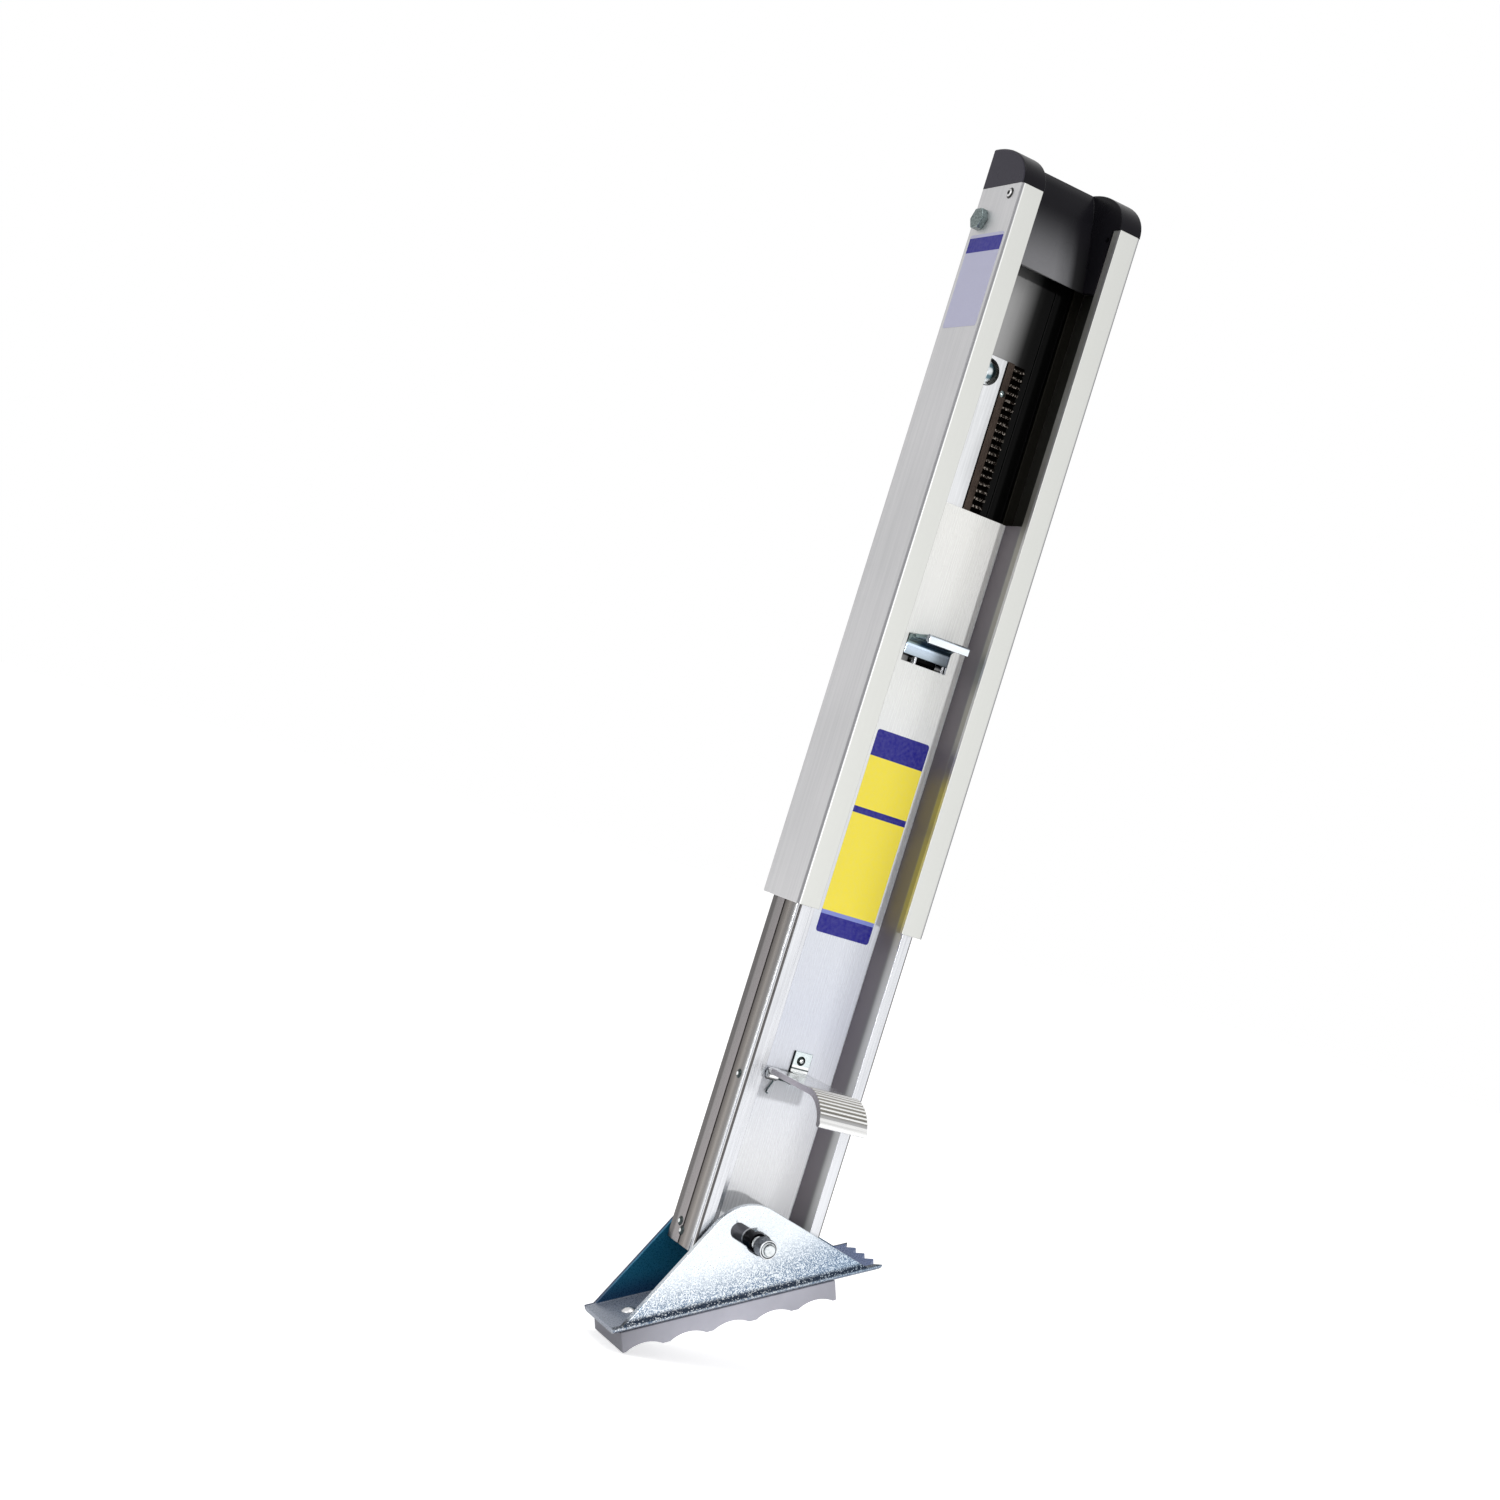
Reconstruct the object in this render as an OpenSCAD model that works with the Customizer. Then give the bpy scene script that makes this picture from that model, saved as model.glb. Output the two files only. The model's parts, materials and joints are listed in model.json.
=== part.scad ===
// Ladder leveller: a C-shaped housing that bolts to a ladder rail, with a leg that slides in it,
// a rack and pawl that lock the leg, a foot pedal and a shoe that swivels on a slotted pivot.
// The frame has its origin on the face that meets the rail, on the housing's centre line and
// halfway between the two rail bolts. +X points away from the rail and +Z up the rail.
// Heights in the source are measured from the housing's lower end and moved to that origin.

/* [Housing] */
// Width of the housing across its side walls
housing_w = 79; // [76:1:90]
// Depth of the housing from the rail face to the front of its lips
housing_d = 39; // [38:0.5:50]
// Length of the housing
housing_h = 390; // [380:5:460]
// Thickness of the side walls
side_wall = 3; // [2:0.25:4]
// Thickness of the wall against the rail
back_wall = 2.5; // [2:0.25:3.5]
// Thickness of the front lips
lip_wall = 3; // [2:0.25:4]
// Width of each front lip
lip_w = 13.5; // [10:0.5:16]
// Depth by which each lip turns back into the leg's hollow
lip_return = 3.5; // [1:0.25:5]
// Radius of the two outer front corners
corner_r = 2; // [0.5:0.25:2.5]
// Height of the guide pads that the leg runs on
guide_h = 3.5; // [3:0.25:4.5]
// Width of the guide pads
guide_w = 6; // [4:0.5:8]
// Distance of the thin inner rib from the centre line
rib_y = 21.5; // [20.8:0.25:26]
// Width and height of the thin inner rib
rib_t = 1.2; // [0.8:0.1:2]
// Running gap between the leg and the housing
slide_gap = 0.3; // [0.2:0.05:0.5]

/* [Rail bolts] */
// Distance between the two rail bolts
bolt_pitch = 116; // [100:1:130]
// Height of the lower rail bolt above the housing's lower end
bolt_low_h = 184; // [176:1:200]
// Distance of the rail bolts from the centre line
bolt_off = 7; // [5:0.5:9]
// Diameter of the plain shank of the rail bolts
bolt_d = 6.35; // [5:0.05:7]
// Diameter of the domed bolt heads
bolt_head_d = 15; // [12:0.5:16]
// Height of the domed bolt heads
bolt_head_h = 3.1; // [2:0.1:3.2]
// Thickness of the rail web that the bolts clamp
rail_web = 4.8; // [3:0.1:8]
// Diameter of the wide washers
washer_d = 29; // [20:1:32]
// Thickness of the wide washers
washer_t = 1.6; // [1:0.1:2.5]
// Distance across the flats of the lock nuts
nut_af = 11.1; // [10:0.1:13]
// Height of the hexagon of the lock nuts
nut_h = 5.6; // [4:0.1:8]
// Length of thread that stands out past each lock nut
thread_out = 4; // [1:0.5:10]
// Gap around shanks and pins in their holes
hole_gap = 0.05; // [0.02:0.01:0.09]

/* [Backing strip and rack] */
// Width of the backing strip under the bolt heads
strip_w = 21; // [17:0.5:21]
// Thickness of the backing strip and of the rack
strip_t = 3; // [2:0.25:3.25]
// Length of the backing strip
strip_len = 150; // [140:1:180]
// Height of the top of the strip and the rack
strip_top_h = 309.5; // [308:0.5:330]
// Gap between the backing strip and the rack
rack_gap = 0.8; // [0.2:0.1:1.5]
// Width of the plain land of the rack
land_w = 4.2; // [3.8:0.1:5]
// Width of the toothed part of the rack
tooth_w = 7.5; // [5:0.25:8]
// Pitch of the rack teeth
tooth_pitch = 4.25; // [3.5:0.05:5]
// Depth of the rack teeth
tooth_depth = 1.8; // [1:0.1:2]
// Number of rack teeth
rack_teeth = 58; // [50:1:59]
// Diameter of the rivets that hold the rack
rack_rivet_d = 2.4; // [2:0.1:2.6]

/* [End cap] */
// Rise of the end cap above the housing
cap_h = 22.5; // [18:0.5:30]
// Wall of the end cap
cap_wall = 2.2; // [1.5:0.1:3]
// Width of each rounded cheek of the end cap
cheek_w = 14; // [10:0.5:16]
// Width of the ridge along the top of the end cap's middle
ridge_w = 3; // [2:0.5:6]
// Distance of the tongue's lower end from the rail face
tongue_x = 22; // [20:0.5:26]
// Drop of the tongue's lower end below the top of the housing
tongue_drop = 34.5; // [20:0.5:38]
// Diameter of the cap rivets
cap_rivet_d = 3.2; // [2.5:0.1:4]
// Distance of the cap rivets below the top of the housing
cap_rivet_drop = 5.3; // [4:0.1:8]
// Distance of the cap rivets from the rail face
cap_rivet_x = 29.6; // [24:0.2:31]

/* [Lift springs] */
// Diameter of the cross bolt that holds the top of the springs
cross_bolt_d = 6.2; // [5:0.1:6.4]
// Distance of the cross bolt below the top of the housing
cross_bolt_drop = 18.3; // [17:0.1:22]
// Distance of the cross bolt from the rail face
cross_bolt_x = 9; // [8.8:0.1:9.4]
// Distance across the flats of the cross bolt's head and nut
cross_af = 10.6; // [9:0.1:12]
// Outer diameter of the lift springs
spring_od = 5.4; // [4.8:0.1:5.4]
// Diameter of the spring wire
wire_d = 1; // [0.8:0.05:1.2]
// Number of curls in each lift spring
spring_curls = 41; // [20:1:41]
// Height above the housing's lower end at which the curls stop
curls_top_h = 20; // [0:1:60]
// Diameter of the pin that holds the bottom of the springs
anchor_pin_d = 3; // [2.4:0.1:3.4]
// Height of that pin above the lower end of the leg
anchor_pin_rise = 22; // [20:1:30]

/* [Leg] */
// Length of the leg
leg_len = 412.5; // [400:1:440]
// How far the leg stands out below the housing
leg_out = 187; // [170:1:200]
// Thickness of the leg's web
web_t = 2.2; // [1.6:0.1:2.6]
// Set-back of the web behind the rear edge of the leg's sides
web_set = 3.5; // [3.3:0.1:3.8]
// Width of each side box of the leg
box_w = 7.4; // [6.5:0.1:8]
// Wall of the side boxes
box_wall = 1.8; // [1.2:0.1:2]
// Width of the raised part of the web over the springs
bay_w = 13.1; // [13:0.05:13.3]
// Height by which the web is raised over the springs
bay_rise = 2.6; // [2.5:0.1:3]
// Depth of the narrow step along the outer front corners
step_t = 1; // [0.5:0.1:1.5]
// Depth of the groove along the outer faces
groove_t = 0.8; // [0.4:0.1:1]
// Width of the groove along the outer faces
groove_w = 1.6; // [1:0.1:2.5]
// Thickness of the ribs behind the web
leg_rib_t = 1.4; // [1:0.1:1.6]

/* [Release lever] */
// Width of the lever slot
slot_w = 28.8; // [26:0.2:29]
// Height of the lever slot
slot_h = 15; // [14:0.5:17]
// Height of the slot's lower edge above the housing's lower end
slot_low_h = 138.5; // [132:0.5:145]
// Distance of the slot's middle from the centre line
slot_y = 6; // [5.8:0.1:6.2]
// Reach of the lever's tab from the rail face
tab_reach = 32; // [26:0.5:34]
// Thickness of the lever's sheet
tab_t = 2; // [1.5:0.1:2.4]
// Depth of the lever's turned-down end
tab_lip = 4.8; // [3:0.1:6]
// Rise of the lever's tab from the slot to its turned-down end
tab_rise = 1.3; // [0:0.1:2]
// Diameter of the pin that the lever turns on
pawl_pin_d = 2.4; // [2:0.1:2.6]
// Gap between the pawl and the rack while the leg slides
pawl_gap = 0.3; // [0.25:0.05:0.5]

/* [Foot pedal] */
// Width of the pedal
pedal_w = 30; // [26:0.5:34]
// Reach of the pedal from the rail face
pedal_reach = 82; // [74:1:90]
// Depth by which the pedal's nose curves down
pedal_drop = 13.5; // [10:0.5:16]
// Thickness of the pedal
pedal_t = 3; // [2.5:0.1:4]
// Distance of the pedal's top face below the housing's lower end
pedal_low = 87; // [70:1:95]
// Number of grip ribs on the pedal
pedal_ribs = 9; // [4:1:10]
// Diameter of the pedal's rod
rod_d = 3; // [2.4:0.1:3.4]
// Outer diameter of the pedal's knuckles
knuckle_d = 6.6; // [6:0.1:7]
// Width of the pedal's bracket
pedal_bracket_w = 11.3; // [9:0.1:12]
// Thickness of the pedal's bracket
pedal_bracket_t = 1.4; // [1:0.1:1.6]

/* [Shoe] */
// Tilt of the shoe
shoe_tilt = 23; // [18:0.5:23]
// Height of the pivot bolt above the lower end of the leg
pivot_rise = 12.2; // [11.4:0.1:12.4]
// Diameter of the pivot bolt
pivot_d = 7.7; // [7:0.1:8]
// Outer diameter of the pivot's spacer sleeve
sleeve_d = 10.4; // [10:0.1:11]
// How far the pivot bolt stands out of the shoe
pivot_out = 10.2; // [6:0.5:12]
// Width of the shoe across its two plates
shoe_w = 39; // [38.8:0.1:40]
// Thickness of the shoe's plate
plate_t = 3; // [2.5:0.1:3.2]
// Height of the shoe's rounded top above the pivot
shoe_top = 23; // [22:0.5:26]
// Radius of the shoe's rounded top
crown_r = 25; // [20:0.5:25]
// Distance of the rounded top's middle behind the pivot
crown_back = 8; // [5:0.5:9]
// Depth of the shoe's bottom below the pivot
shoe_low = 29; // [28.8:0.2:33]
// Length of the shoe's toe side, from the pivot
toe_len = 70.5; // [66:0.5:76]
// Length of the shoe's heel side, from the pivot
heel_len = 85; // [80:0.5:90]
// Length of travel along the shoe's slot
slot_travel = 16.4; // [14:0.2:18]
// Angle of the slot from the shoe's base
slot_angle = 140; // [130:1:145]
// Width of the shoe's slot
shoe_slot_w = 8.6; // [8.3:0.1:9.2]
// Length of travel along the slot's wide end
wide_travel = 3.6; // [2:0.2:5]
// Thickness of the rubber pad, with its arches
pad_t = 11; // [8:0.5:14]
// Length of the rubber pad
pad_len = 123; // [110:1:130]
// Number of arches along the pad
pad_arches = 5; // [3:1:7]
// Depth of the pad's arches
arch_t = 2.8; // [2:0.2:4]

/* [Hidden] */
$fn = 48;
eps = 0.01;
seat = 0.02;

origin_h = bolt_low_h + bolt_pitch / 2;
half_w = housing_w / 2;
inner_w = half_w - side_wall;
lip_in = half_w - lip_w;
bolt_y = -bolt_off;
bolt_heights = [bolt_low_h, bolt_low_h + bolt_pitch];

thread_cut = 0.25;
collar_h = 2;
strip_front = back_wall + strip_t;
rack_rivet_ends = [20, 17.5];
strip_left = bolt_y - strip_w / 2;
rack_left = bolt_y + strip_w / 2 + rack_gap;
teeth_left = rack_left + land_w;
rack_right = teeth_left + tooth_w;
rack_len = rack_teeth * tooth_pitch;
rack_low_h = strip_top_h - rack_len;
rack_rivet_y = rack_left + land_w / 2;
rack_rivet_heights = [rack_low_h + rack_rivet_ends[0], rack_low_h + rack_len / 2,
    strip_top_h - rack_rivet_ends[1]];

leg_half = inner_w - slide_gap;
leg_rear = back_wall + guide_h + slide_gap;
leg_front = housing_d - lip_wall - slide_gap;
leg_low_h = -leg_out;
leg_top_h = leg_low_h + leg_len;
leg_in = leg_half - box_w;
web_rear = leg_rear + web_set;
web_front = web_rear + web_t;
rear_in = leg_half - 6.5;
bay_right = -rear_in + bay_w;
bay_rear = web_rear + bay_rise;
bay_front = bay_rear + web_t;
bay_rib_t = 1;
half_bay = (bay_w - bay_rib_t) / 2;
spring_y_outer = -rear_in + half_bay / 2;
spring_y_inner = spring_y_outer + half_bay + bay_rib_t;
spring_x = leg_rear + slide_gap + spring_od / 2;
spring_ys = [spring_y_inner, spring_y_outer];
lug_rise = 10;
lug_len = 50;
lug_h = leg_low_h + lug_rise;
lug_top_h = lug_h + lug_len;

cross_h = housing_h - cross_bolt_drop;
anchor_h = leg_low_h + anchor_pin_rise;
anchor_x = cross_bolt_x;

slot_top_h = slot_low_h + slot_h;
slot_left = slot_y - slot_w / 2;
slot_right = slot_y + slot_w / 2;
lever_rib_left = bolt_y + bolt_head_d / 2 + slide_gap;
lever_rib_right = rack_right + 2.6;
pawl_left = lever_rib_left + leg_rib_t + slide_gap;
pawl_right = lever_rib_right - slide_gap;
pawl_pin_x = leg_rear + 1.9;
pawl_pin_h = slot_low_h + 1.6;
pawl_tip = strip_front + pawl_gap;
sheet_x = pawl_pin_x + 0.3;
sleeve_len = 11.5;
fold_r = 3;
tab_top_h = slot_top_h - slide_gap;
lip_left = slot_left + slide_gap + 0.9;
lip_right = slot_right - slide_gap - 1.4;
apron_t = 1.6;
apron_r = 4.5;
apron_len = 8.8;

hinge_x = web_front + knuckle_d / 2 + 1.2;
hinge_h = -pedal_low - knuckle_d / 2;
bracket_y = 0.7;
bracket_right = bracket_y + pedal_bracket_w;
pedal_half = pedal_w / 2;
pedal_left = max(-pedal_half, bay_right + web_t + slide_gap);
knuckle_left = bay_right + web_t + 0.9;

pivot_h = leg_low_h + pivot_rise;
shoe_rear = (leg_rear + leg_front) / 2 - shoe_w / 2;
shoe_front = shoe_rear + shoe_w;
shoe_floor = -shoe_low + plate_t;
pad_heel = heel_len - 4.5;
wide_r = sleeve_d / 2 + 0.4;
pivot_chamfer = 0.8;
pivot_tip = 1.8;
shoe_mid = (shoe_rear + shoe_front) / 2;
arch_pitch = pad_len / pad_arches;
arch_half = arch_pitch * 0.42;
arch_r = (arch_half * arch_half + arch_t * arch_t) / (2 * arch_t);
arch_ys = [for (k = [0:pad_arches - 1]) arch_pitch * (k + 0.5) - pad_heel];
pad_rivet_d = 4;
pad_rivet_ys = [for (k = [0, 2, 3]) if (k < pad_arches) arch_ys[k]];

screw_d = 3;
screw_head_h = 1.1;
upper_screw = [7.7, 94];
lower_screw = [9.2, 11];
screw_step = [4, -4];
side_screws = [[leg_front - upper_screw[0], leg_low_h + upper_screw[1]],
    [leg_rear, leg_low_h] + lower_screw, [leg_rear, leg_low_h] + lower_screw + screw_step];
bracket_mid = bracket_y + pedal_bracket_w * 0.45;
bracket_rise = 14.5;
bracket_screw_rise = 9.7;
bracket_top_h = hinge_h + bracket_rise;
bracket_screw_h = hinge_h + bracket_screw_rise;

pedal_root = hinge_x + knuckle_d / 2 + slide_gap;
bend_run = 19;
bend_x = pedal_reach - bend_run;
bend_a = 2 * atan(pedal_drop / bend_run);
bend_r = bend_run / sin(bend_a);
bend_len = bend_r * bend_a * PI / 180;
grip_pitch = 2.35;
grip_r = 0.6;
rib_start = 5.6;
// Point on the pedal's top at a length past the start of the bend
function pedal_at(s) = let (a = max(s, 0) / bend_r * 180 / PI)
    [bend_x + min(s, 0) + bend_r * sin(a), -pedal_low - bend_r * (1 - cos(a))];

pedal_wire_d = 0.9;
pedal_curls = 4;
pedal_curl_r = rod_d / 2 + 0.35 + pedal_wire_d / 2;
coil_len = 7.8;
spring_left = bracket_y - slide_gap - coil_len;
knuckle_spans = [[knuckle_left, spring_left - slide_gap], [bracket_right + slide_gap, pedal_half]];
pedal_curl_pitch = (coil_len - slide_gap - pedal_wire_d) / (pedal_curls + 0.25);
pedal_spring_y = spring_left + slide_gap + pedal_wire_d / 2;
pedal_spring_end = pedal_spring_y + pedal_curl_pitch * (pedal_curls + 0.25);
pedal_spring_line = concat(
    [[[web_front + pedal_wire_d / 2 + slide_gap, pedal_spring_y, hinge_h + 7], [0, 0, 0]],
        [[hinge_x - pedal_curl_r, pedal_spring_y, hinge_h + 1.5], [0, 0, 0]]],
    [for (i = [0:8 * pedal_curls + 2]) let (a = 180 + 45 * i)
        [[hinge_x + pedal_curl_r * cos(a), pedal_spring_y + pedal_curl_pitch * i / 8,
            hinge_h + pedal_curl_r * sin(a)], [-cos(a), 0, -sin(a)]]],
    [[[hinge_x + 3, pedal_spring_end, hinge_h - pedal_curl_r + 0.4], [0, 0, 0]],
        [[pedal_root + 4, pedal_spring_end,
            -pedal_low - pedal_t - slide_gap - pedal_wire_d / 2], [0, 0, 0]]]);

// Shapes that several parts use

module at_mount() {
    translate([0, 0, -origin_h]) children();
}

// A plate that stands along Y between y0 and y1, from an outline in X and Z
module along_y(y0, y1) {
    translate([0, y1, 0]) rotate([90, 0, 0]) linear_extrude(y1 - y0) children();
}

// A plate that stands along X between x0 and x1, from an outline in Y and Z
module along_x(x0, x1) {
    translate([x0, 0, 0]) rotate([90, 0, 90]) linear_extrude(x1 - x0) children();
}

module rod_x(r, x0, x1) {
    translate([x0, 0, 0]) rotate([0, 90, 0]) cylinder(r = r, h = x1 - x0);
}

module rod_y(r, y0, y1) {
    translate([0, y0, 0]) rotate([-90, 0, 0]) cylinder(r = r, h = y1 - y0);
}

module hex_x(af, x0, x1) {
    translate([x0, 0, 0]) rotate([0, 90, 0]) cylinder(d = af / cos(30), h = x1 - x0, $fn = 6);
}

module hex_y(af, y0, y1) {
    translate([0, y0, 0]) rotate([-90, 0, 0]) cylinder(d = af / cos(30), h = y1 - y0, $fn = 6);
}

// Half outline of a domed head of radius r and height h, to spin about its axis
module dome_outline(r, h) {
    ball = (r * r + h * h) / (2 * h);
    intersection() {
        square([r, h]);
        translate([0, h - ball]) circle(r = ball, $fn = 96);
    }
}

module dome_x(r, h, x0, side) {
    translate([x0, 0, 0]) rotate([0, 90 * side, 0]) rotate_extrude() dome_outline(r, h);
}

module dome_y(r, h, y0, side) {
    translate([0, y0, 0]) rotate([-90 * side, 0, 0]) rotate_extrude() dome_outline(r, h);
}

// Tube of six sides and radius r along a line of points
function unit(v) = v / norm(v);
function ring(p, dir, side, r) =
    let (raw = norm(side) > 0 ? side : cross(dir, [0, 1, 0]),
        a = unit(raw - (raw * dir) * dir), b = cross(dir, a))
    [for (k = [0:5]) p + r * (cos(60 * k) * a + sin(60 * k) * b)];

module wire(line, r) {
    n = len(line);
    last = 6 * (n - 1);
    rings = [for (i = [0:n - 1])
        each ring(line[i][0], unit(line[min(i + 1, n - 1)][0] - line[max(i - 1, 0)][0]), line[i][1], r)];
    walls = [for (i = [0:n - 2], k = [0:5])
        let (a = 6 * i + k, b = 6 * i + (k + 1) % 6)
        each [[a, a + 6, b], [b, a + 6, b + 6]]];
    ends = [for (k = [1:4]) each [[0, k, k + 1], [last, last + k + 1, last + k]]];
    polyhedron(points = rings, faces = concat(walls, ends));
}

// Centre line of a lift spring. Each entry is a point and the direction that the wire's first side
// faces, or no direction where the line lies flat in X and Z.
flat = [0, 0, 0];
wire_r = wire_d / 2;
spring_r = (spring_od - wire_d) / 2;
wire_x = spring_x - spring_r;
low_eye = anchor_pin_d / 2 + slide_gap + wire_r;
top_eye = cross_bolt_d / 2 + slide_gap + wire_r;
curls_low_h = anchor_h + low_eye + anchor_x - wire_x + 1;
curl_pitch = (curls_top_h - curls_low_h) / spring_curls;

function arc_xz(cx, ch, r, from, step, count, y) =
    [for (k = [0:count]) [[cx + r * cos(from + step * k), y, ch + r * sin(from + step * k)], flat]];

function low_eye_line(y) = concat(
    [[[anchor_x - low_eye, y, anchor_h + wire_d], flat]],
    arc_xz(anchor_x, anchor_h, low_eye, -180, 45, 6, y),
    arc_xz(anchor_x, anchor_h + low_eye + anchor_x - wire_x, anchor_x - wire_x, -120, -30, 2, y));

function top_eye_line(y) = concat(
    arc_xz(cross_bolt_x, cross_h - top_eye - cross_bolt_x + wire_x, cross_bolt_x - wire_x, 180, -30, 2, y),
    arc_xz(cross_bolt_x, cross_h, top_eye, -90, 45, 6, y),
    [[[cross_bolt_x - top_eye, y, cross_h - wire_d], flat]]);

function curls(y) = [for (i = [0:8 * spring_curls])
    [[spring_x - spring_r * cos(45 * i), y + spring_r * sin(45 * i), curls_low_h + curl_pitch * i / 8],
        [-cos(45 * i), sin(45 * i), 0]]];

function spring_line(y) = concat(low_eye_line(y), curls(y), top_eye_line(y));

// Least gap between parts of a line that lie most of a turn apart
function least_gap(line, d) = let (n = len(line))
    min([for (i = [0:n - 8], j = [i + 7:n - 1]) norm(line[i][0] - line[j][0])]) - d;

module housing_channel() {
    color("lightgray") at_mount() difference() {
        linear_extrude(housing_h) housing_outline();
        for (h = bolt_heights) translate([0, bolt_y, h])
            rod_x(bolt_d / 2 + hole_gap, -1, back_wall + 1);
        for (h = rack_rivet_heights) translate([0, rack_rivet_y, h])
            rod_x(rack_rivet_d / 2 + hole_gap, -1, back_wall + 1);
        translate([cross_bolt_x, 0, cross_h])
            rod_y(cross_bolt_d / 2 + hole_gap, -half_w - 1, half_w + 1);
        translate([cap_rivet_x, 0, housing_h - cap_rivet_drop])
            rod_y(cap_rivet_d / 2 + hole_gap, -half_w - 1, half_w + 1);
    }
}

module housing_outline() {
    difference() {
        union() {
            translate([0, -half_w]) square([housing_d - corner_r, housing_w]);
            translate([0, corner_r - half_w]) square([housing_d, housing_w - 2 * corner_r]);
            for (s = [-1, 1]) translate([housing_d - corner_r, s * (half_w - corner_r)])
                circle(r = corner_r);
        }
        translate([back_wall, -inner_w])
            square([housing_d - lip_wall - back_wall, 2 * inner_w]);
        translate([back_wall, -lip_in]) square([housing_d, 2 * lip_in]);
    }
    for (s = [-1, 1]) {
        translate([housing_d - lip_wall - lip_return, s > 0 ? lip_in : -leg_in + slide_gap])
            square([lip_return + eps, leg_in - slide_gap - lip_in]);
        translate([back_wall - eps, s > 0 ? inner_w - guide_w : -inner_w])
            square([guide_h + eps, guide_w]);
        translate([back_wall - eps, s * rib_y - rib_t / 2]) square([rib_t + eps, rib_t]);
    }
}

// Side outline of the cap's cheeks, from the rail face forward, above the top of the housing
function cheek_points(d, h, n) =
    [for (k = [0:n]) let (a = 90 - 90 * k / n) [d * cos(a), h * sin(a)]];

// Front of the cap's middle, from the ridge down to the end of the tongue, moved back by a wall
function tongue_points(wall, n) = let (top = cap_h - 0.5) [for (k = [0:n]) let (t = k / n)
    [ridge_w + (tongue_x - ridge_w) * t ^ 0.75 - wall, top - (top + tongue_drop) * t]];

module end_cap() {
    ear_w = 2.7;
    ear_low = cap_rivet_drop + 6;
    ear_in = inner_w - ear_w;
    cheek_in = half_w - cheek_w;
    fin_out = cheek_in + cap_wall;
    fin_front = housing_d - lip_wall - lip_return - slide_gap;
    tongue_back = tongue_points(cap_wall, 10);
    color([0.08, 0.08, 0.09]) at_mount() translate([0, 0, housing_h]) difference() {
        union() {
            for (s = [-1, 1]) along_y(s > 0 ? cheek_in : -half_w, s > 0 ? half_w : -cheek_in)
                polygon(concat([[0, 0]], cheek_points(housing_d, cap_h, 14)));
            along_y(-cheek_in - eps, cheek_in + eps)
                polygon(concat([[0, 0], [0, cap_h - 0.5]], tongue_points(0, 10),
                    [for (k = [10:-1:1]) tongue_back[k]],
                    [[cap_wall, cap_h - 0.5 - cap_wall], [cap_wall, 0]]));
            for (s = [-1, 1]) along_y(s > 0 ? cheek_in : -fin_out, s > 0 ? fin_out : -cheek_in)
                polygon(concat([for (k = [4:10]) tongue_back[k]],
                    [[fin_front, -tongue_drop - 1.5], [fin_front, 1], [tongue_back[4][0], 1]]));
            for (s = [-1, 1]) along_y(s > 0 ? ear_in : -inner_w + seat, s > 0 ? inner_w - seat : -ear_in)
                translate([cap_rivet_x - 6, -ear_low]) square([10, ear_low + 1]);
        }
        for (s = [-1, 1]) along_y(s > 0 ? fin_out : -ear_in, s > 0 ? ear_in : -fin_out)
            polygon(concat([[cap_wall, -eps]],
                [for (p = cheek_points(housing_d - 2 * cap_wall, cap_h - cap_wall, 14)) p + [cap_wall, 0]],
                [[housing_d - cap_wall, -eps]]));
        translate([cap_rivet_x, 0, -cap_rivet_drop])
            rod_y(cap_rivet_d / 2 + hole_gap, -half_w, half_w);
    }
}

module cap_rivets() {
    head_r = cap_rivet_d * 0.95;
    color("silver") at_mount() for (s = [-1, 1])
        translate([cap_rivet_x, 0, housing_h - cap_rivet_drop]) {
            dome_y(head_r, cap_rivet_d * 0.4, s * half_w, s);
            rod_y(cap_rivet_d / 2, s > 0 ? inner_w - 3.5 : -half_w, s > 0 ? half_w : -inner_w + 3.5);
        }
}

module cross_bolt() {
    head_h = cross_bolt_d * 0.62;
    color("silver") at_mount() translate([cross_bolt_x, 0, cross_h]) {
        hex_y(cross_af, -half_w - head_h, -half_w);
        rod_y(cross_bolt_d / 2, -half_w - eps, half_w + cross_bolt_d);
    }
}

module cross_bolt_nut() {
    color("silver") at_mount() translate([cross_bolt_x, 0, cross_h]) difference() {
        hex_y(cross_af, half_w, half_w + cross_bolt_d * 0.8);
        rod_y(cross_bolt_d / 2 + hole_gap, half_w - 1, half_w + cross_bolt_d);
    }
}

module backing_strip() {
    color("gainsboro") at_mount() difference() {
        translate([back_wall, strip_left, strip_top_h - strip_len])
            cube([strip_t, strip_w, strip_len]);
        for (h = bolt_heights) translate([0, bolt_y, h])
            rod_x(bolt_d / 2 + hole_gap, back_wall - 1, strip_front + 1);
    }
}

// Saw teeth: a flat step under each tooth and a slope above it
module rack() {
    root = strip_front - tooth_depth;
    teeth = [for (i = [0:rack_teeth - 1]) let (z = rack_low_h + i * tooth_pitch)
        each [[root, z], [strip_front, z + 0.15 * tooth_pitch], [strip_front, z + 0.45 * tooth_pitch]]];
    color([0.2, 0.19, 0.18]) at_mount() difference() {
        union() {
            translate([back_wall, rack_left, rack_low_h]) cube([strip_t, land_w, rack_len]);
            along_y(teeth_left - eps, rack_right)
                polygon(concat([[back_wall, rack_low_h]], teeth,
                    [[root, strip_top_h], [back_wall, strip_top_h]]));
        }
        for (h = rack_rivet_heights) translate([0, rack_rivet_y, h])
            rod_x(rack_rivet_d / 2 + hole_gap, 0, strip_front + 1);
    }
}

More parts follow.
